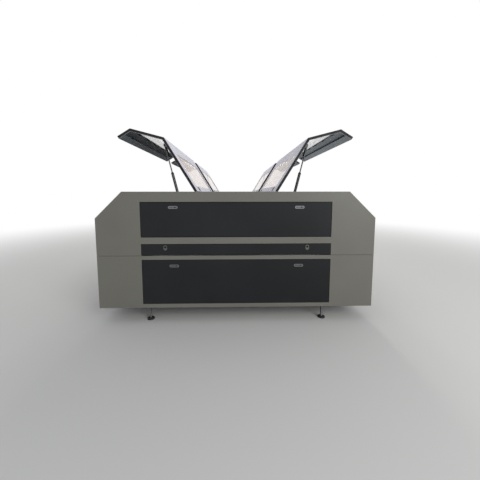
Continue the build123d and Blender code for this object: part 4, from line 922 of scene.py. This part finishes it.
# Control panel: glass over the screen, key caps and the stop's yellow collar
panelSettings = {
    "bend": (0.807, -1.5865, cabinetTop),
    "slope": (0.193, -0.188),
    "screen": (0.070, 0.0026, (0.0545, 0.0945, 0.0012)),
    "keys": (0.135, 0.0049, (0.0134, 0.0234, 0.0014)),
    "keyPitch": (0.020, 0.034),
    "stop": 0.205,
    "collar": [(0.0005, 0.0222), (0.0088, 0.0222), (0.0101, 0.021), (0.0101, 0.0176), (0.0005, 0.0176)],
}
s = panelSettings
bend = np.array(s["bend"])
downSlope = np.array([s["slope"][0], 0, s["slope"][1]]) / math.hypot(*s["slope"])
outSlope = np.array([-downSlope[2], 0, downSlope[0]])
panelAxes = (downSlope, alongY, outSlope)
along, rise, size = s["screen"]
screen = softBlock(bend + downSlope * along + outSlope * rise, size, 0.0004, panelAxes)
makePiece("screenGlass", [screen], "screenBlue", "cabinet")
along, rise, size = s["keys"]
keyCap = softBlock((0, 0, 0), size, 0.0005, panelAxes)
steps = grid((-1, 0, 1), (-1.5, -0.5, 0.5, 1.5), (0,))
keyPlaces = (
    bend + downSlope * along + outSlope * rise
    + steps[:, :1] * s["keyPitch"][0] * downSlope + steps[:, 1:2] * np.array([0, s["keyPitch"][1], 0])
)
makePiece("keyCaps", [copies(keyCap, keyPlaces[:10])], "keyGrey", "cabinet")
makePiece("goKeyCap", [copies(keyCap, keyPlaces[10:11])], "keyGreen", "cabinet")
makePiece("haltKeyCap", [copies(keyCap, keyPlaces[11:])], "stopRed", "cabinet")
stopCollar = turned(s["collar"] + s["collar"][:1], bend + downSlope * s["stop"], outSlope, 32)
makePiece("stopCollar", [stopCollar], "stopYellow", "cabinet")
print("control panel dressed")

# Plugs in the cable glands, threads on the feet, nuts on the castors' axles
plugSettings = {
    "outline": [(-0.004, 0), (-0.004, 0.0112), (0.0008, 0.0112), (0.0028, 0.0098), (0.004, 0.006), (0.0044, 0)],
    "places": grid((-0.03, 0.03), (1.6735,), (0.3,)),
}
plugs = copies(turned(plugSettings["outline"], (0, 0, 0), (0, 1, 0), 18), plugSettings["places"])
makePiece("glandPlugs", [plugs], "blackRubber", "cabinet")
threadSettings = {
    "low": 0.014, "high": 0.108, "pitch": 0.0025, "core": 0.0079, "crest": 0.0086,
    "places": grid((-0.655, 0.655), (-1.6285, 1.5815), (0,)),
}
s = threadSettings
turns = int((s["high"] - s["low"]) / s["pitch"])
heights = s["low"] + s["pitch"] * np.arange(2 * turns + 1) / 2
radii = np.where(np.arange(2 * turns + 1) % 2 == 0, s["core"], s["crest"])
thread = np.concatenate([[[s["low"], 0]], np.stack([heights, radii], axis=1), [[heights[-1], 0]]])
threads = copies(turned(thread, (0, 0, 0), (0, 0, 1), 16), s["places"])
makePiece("footThreads", [threads], "footFinish", "cabinet", 20)
castorSettings = {
    "turn": 60, "trail": 0.030, "axle": 0.047, "x": 0.700, "y": {"front": -1.4685, "rear": 1.4215},
    "outer": 0.0205,
    "nut": [
        (-0.001, 0), (-0.001, 0.0078), (0.0034, 0.0078), (0.0042, 0.0066), (0.0042, 0.0036), (0.0058, 0.0032),
        (0.0058, 0),
    ],
}
for end, hand in corners:
    side = 1 if hand == "right" else -1
    s = castorSettings
    turn = math.radians(s["turn"])
    cross = np.array([-math.sin(turn), math.cos(turn), 0])
    trail = s["trail"] * np.array([math.cos(turn), math.sin(turn)])
    hub = np.array([side * s["x"] + trail[0], s["y"][end] + trail[1], s["axle"]])
    nuts = [turned(s["nut"], hub + way * cross * s["outer"], way * cross, 6) for way in (-1, 1)]
    makePiece(f"{end}_{hand}_axleNuts", nuts, "darkSteel", f"{end}_{hand}_castor_fork")

# Focus knob on the head's lens clamp: a fluted grip, radius(t) = middle + depth * cos(flutes * t)
knobSettings = {"place": (-0.578, 1.1275, 0.590), "radius": 0.0078, "depth": 0.0004, "flutes": 16, "length": 0.012}
s = knobSettings
t = np.linspace(0, 2 * np.pi, 96, endpoint=False)
reach = s["radius"] + s["depth"] * np.cos(s["flutes"] * t)
shares = np.array([0.0, 0.92, 1.0, 1.0, 0.9, 0.0])
depths = np.array([0.0, 0.0, 0.06, 0.9, 1.0, 1.0]) * s["length"]
knob = np.stack(
    [
        s["place"][0] + shares[:, None] * reach * np.cos(t),
        s["place"][1] - depths[:, None] + 0 * t,
        s["place"][2] + shares[:, None] * reach * np.sin(t),
    ],
    axis=-1,
)
makePiece("focusKnob", [surface(knob, closeColumns=True)], "blackRubber", "head")
print("plugs, threads, nuts and knob made")


# Camera where the photograph was taken, from its fitted place, turn and view
cameraSettings = {
    "place": (-0.008, -3.3995, 0.948),
    "lens": 18.0,
    "sensor": 36,
    "clipEnd": 200,
    "pitch": -5.25,
    "yaw": 0.019,
    "roll": 0.0006,
    "shiftY": -0.0496,
}
cameraData = bpy.data.cameras.new("camera")
cameraData.lens = cameraSettings["lens"]
cameraData.sensor_width = cameraSettings["sensor"]
cameraData.shift_y = cameraSettings["shiftY"]
cameraData.clip_end = cameraSettings["clipEnd"]
camera = bpy.data.objects.new("camera", cameraData)
camera.location = cameraSettings["place"]
camera.rotation_euler = Euler(
    (math.pi / 2 + math.radians(cameraSettings["pitch"]), cameraSettings["roll"], -cameraSettings["yaw"])
)
bpy.context.scene.collection.objects.link(camera)
bpy.context.scene.camera = camera

# Pale floor
floorSettings = {
    "half": 40.0, "colour": (0.72, 0.71, 0.69, 1), "roughness": 0.8, "specular": 0.2, "fade": (2.4, 7.0),
}
floorMesh = bpy.data.meshes.new("floor")
h = floorSettings["half"]
floorMesh.from_pydata([(-h, -h, 0), (h, -h, 0), (h, h, 0), (-h, h, 0)], [], [(0, 1, 2, 3)])
floorMaterial, floorTree, floorShader = newMaterial("floorPaint")
floorShader.inputs["Base Color"].default_value = floorSettings["colour"]
floorShader.inputs["Roughness"].default_value = floorSettings["roughness"]
floorShader.inputs["Specular IOR Level"].default_value = floorSettings["specular"]


def seenRays(tree):
    # One for what the camera, a gloss or a glass sees, and none for light that falls
    rays = tree.nodes.new("ShaderNodeLightPath")
    value = rays.outputs["Is Camera Ray"]
    for kind in ("Is Glossy Ray", "Is Transmission Ray"):
        value = mathNode(tree, "MAXIMUM", value, rays.outputs[kind])
    return value


# Away from the object the floor turns to the same white as the sky
floorPlace = floorTree.nodes.new("ShaderNodeTexCoord")
floorReach = floorTree.nodes.new("ShaderNodeVectorMath")
floorReach.operation = "LENGTH"
floorTree.links.new(floorPlace.outputs["Object"], floorReach.inputs[0])
fade = floorTree.nodes.new("ShaderNodeMapRange")
fade.interpolation_type = "SMOOTHSTEP"
fade.inputs["From Min"].default_value = floorSettings["fade"][0]
fade.inputs["From Max"].default_value = floorSettings["fade"][1]
floorTree.links.new(floorReach.outputs["Value"], fade.inputs["Value"])
fadeShare = mathNode(floorTree, "MULTIPLY", fade.outputs["Result"], seenRays(floorTree))
whiteFloor = floorTree.nodes.new("ShaderNodeEmission")
floorMix = floorTree.nodes.new("ShaderNodeMixShader")
floorTree.links.new(fadeShare, floorMix.inputs["Fac"])
floorTree.links.new(floorShader.outputs["BSDF"], floorMix.inputs[1])
floorTree.links.new(whiteFloor.outputs["Emission"], floorMix.inputs[2])
floorTree.links.new(floorMix.outputs["Shader"], floorTree.nodes["Material Output"].inputs["Surface"])
floorMesh.materials.append(floorMaterial)
floor = bpy.data.objects.new("floor", floorMesh)
bpy.context.scene.collection.objects.link(floor)

# Soft light: an even sky that looks white to the camera, and large lamps
worldSettings = {"sky": (0.93, 0.96, 1.0, 1), "skyStrength": 0.5}
world = bpy.data.worlds.new("studio")
bpy.context.scene.world = world
world.use_nodes = True
skyTree = world.node_tree
sky = skyTree.nodes["Background"]
sky.inputs["Color"].default_value = worldSettings["sky"]
sky.inputs["Strength"].default_value = worldSettings["skyStrength"]
white = skyTree.nodes.new("ShaderNodeBackground")
white.inputs["Color"].default_value = (1, 1, 1, 1)
white.inputs["Strength"].default_value = 1.0
choose = skyTree.nodes.new("ShaderNodeMixShader")
skyTree.links.new(seenRays(skyTree), choose.inputs["Fac"])
skyTree.links.new(sky.outputs["Background"], choose.inputs[1])
skyTree.links.new(white.outputs["Background"], choose.inputs[2])
skyTree.links.new(choose.outputs["Shader"], skyTree.nodes["World Output"].inputs["Surface"])

lampSettings = {
    "rearTop": {
        "place": (0.4, 4.5, 4.4), "aim": (0, 0, 0.8), "size": 3.0, "power": 170, "spread": 180,
        "colour": (1, 0.98, 0.95), "glossy": False,
    },
    "frontRight": {
        "place": (3.0, -5.5, 2.4), "aim": (0, -1.6, 0.5), "size": 2.5, "power": 115, "spread": 180,
        "colour": (1, 1, 0.99), "glossy": True,
    },
    "lidFill": {
        "place": (0.35, -0.6, 0.1), "aim": (1.1, -0.8, 1.25), "size": 1.2, "power": 14, "spread": 180,
        "colour": (1, 0.97, 0.97), "glossy": False, "only": ["right_front_lid", "right_rear_lid"],
    },
}
for name, lamp in lampSettings.items():
    lampData = bpy.data.lights.new(name, "AREA")
    lampData.size = lamp["size"]
    lampData.energy = lamp["power"]
    lampData.color = lamp["colour"]
    lampData.spread = math.radians(lamp["spread"])
    light = bpy.data.objects.new(name, lampData)
    light.location = lamp["place"]
    light.visible_glossy = lamp["glossy"]
    if "only" in lamp:
        # This lamp lights the named nodes alone, and nothing else shades it
        lit = bpy.data.collections.new(name + "Lit")
        for node in lamp["only"]:
            lit.objects.link(nodes[node])
        light.light_linking.receiver_collection = lit
        light.light_linking.blocker_collection = lit
    towards = Vector(lamp["aim"]) - Vector(lamp["place"])
    light.rotation_euler = towards.to_track_quat("-Z", "Y").to_euler()
    bpy.context.scene.collection.objects.link(light)

bpy.context.scene.view_settings.view_transform = "Standard"
print("camera, floor and light placed")
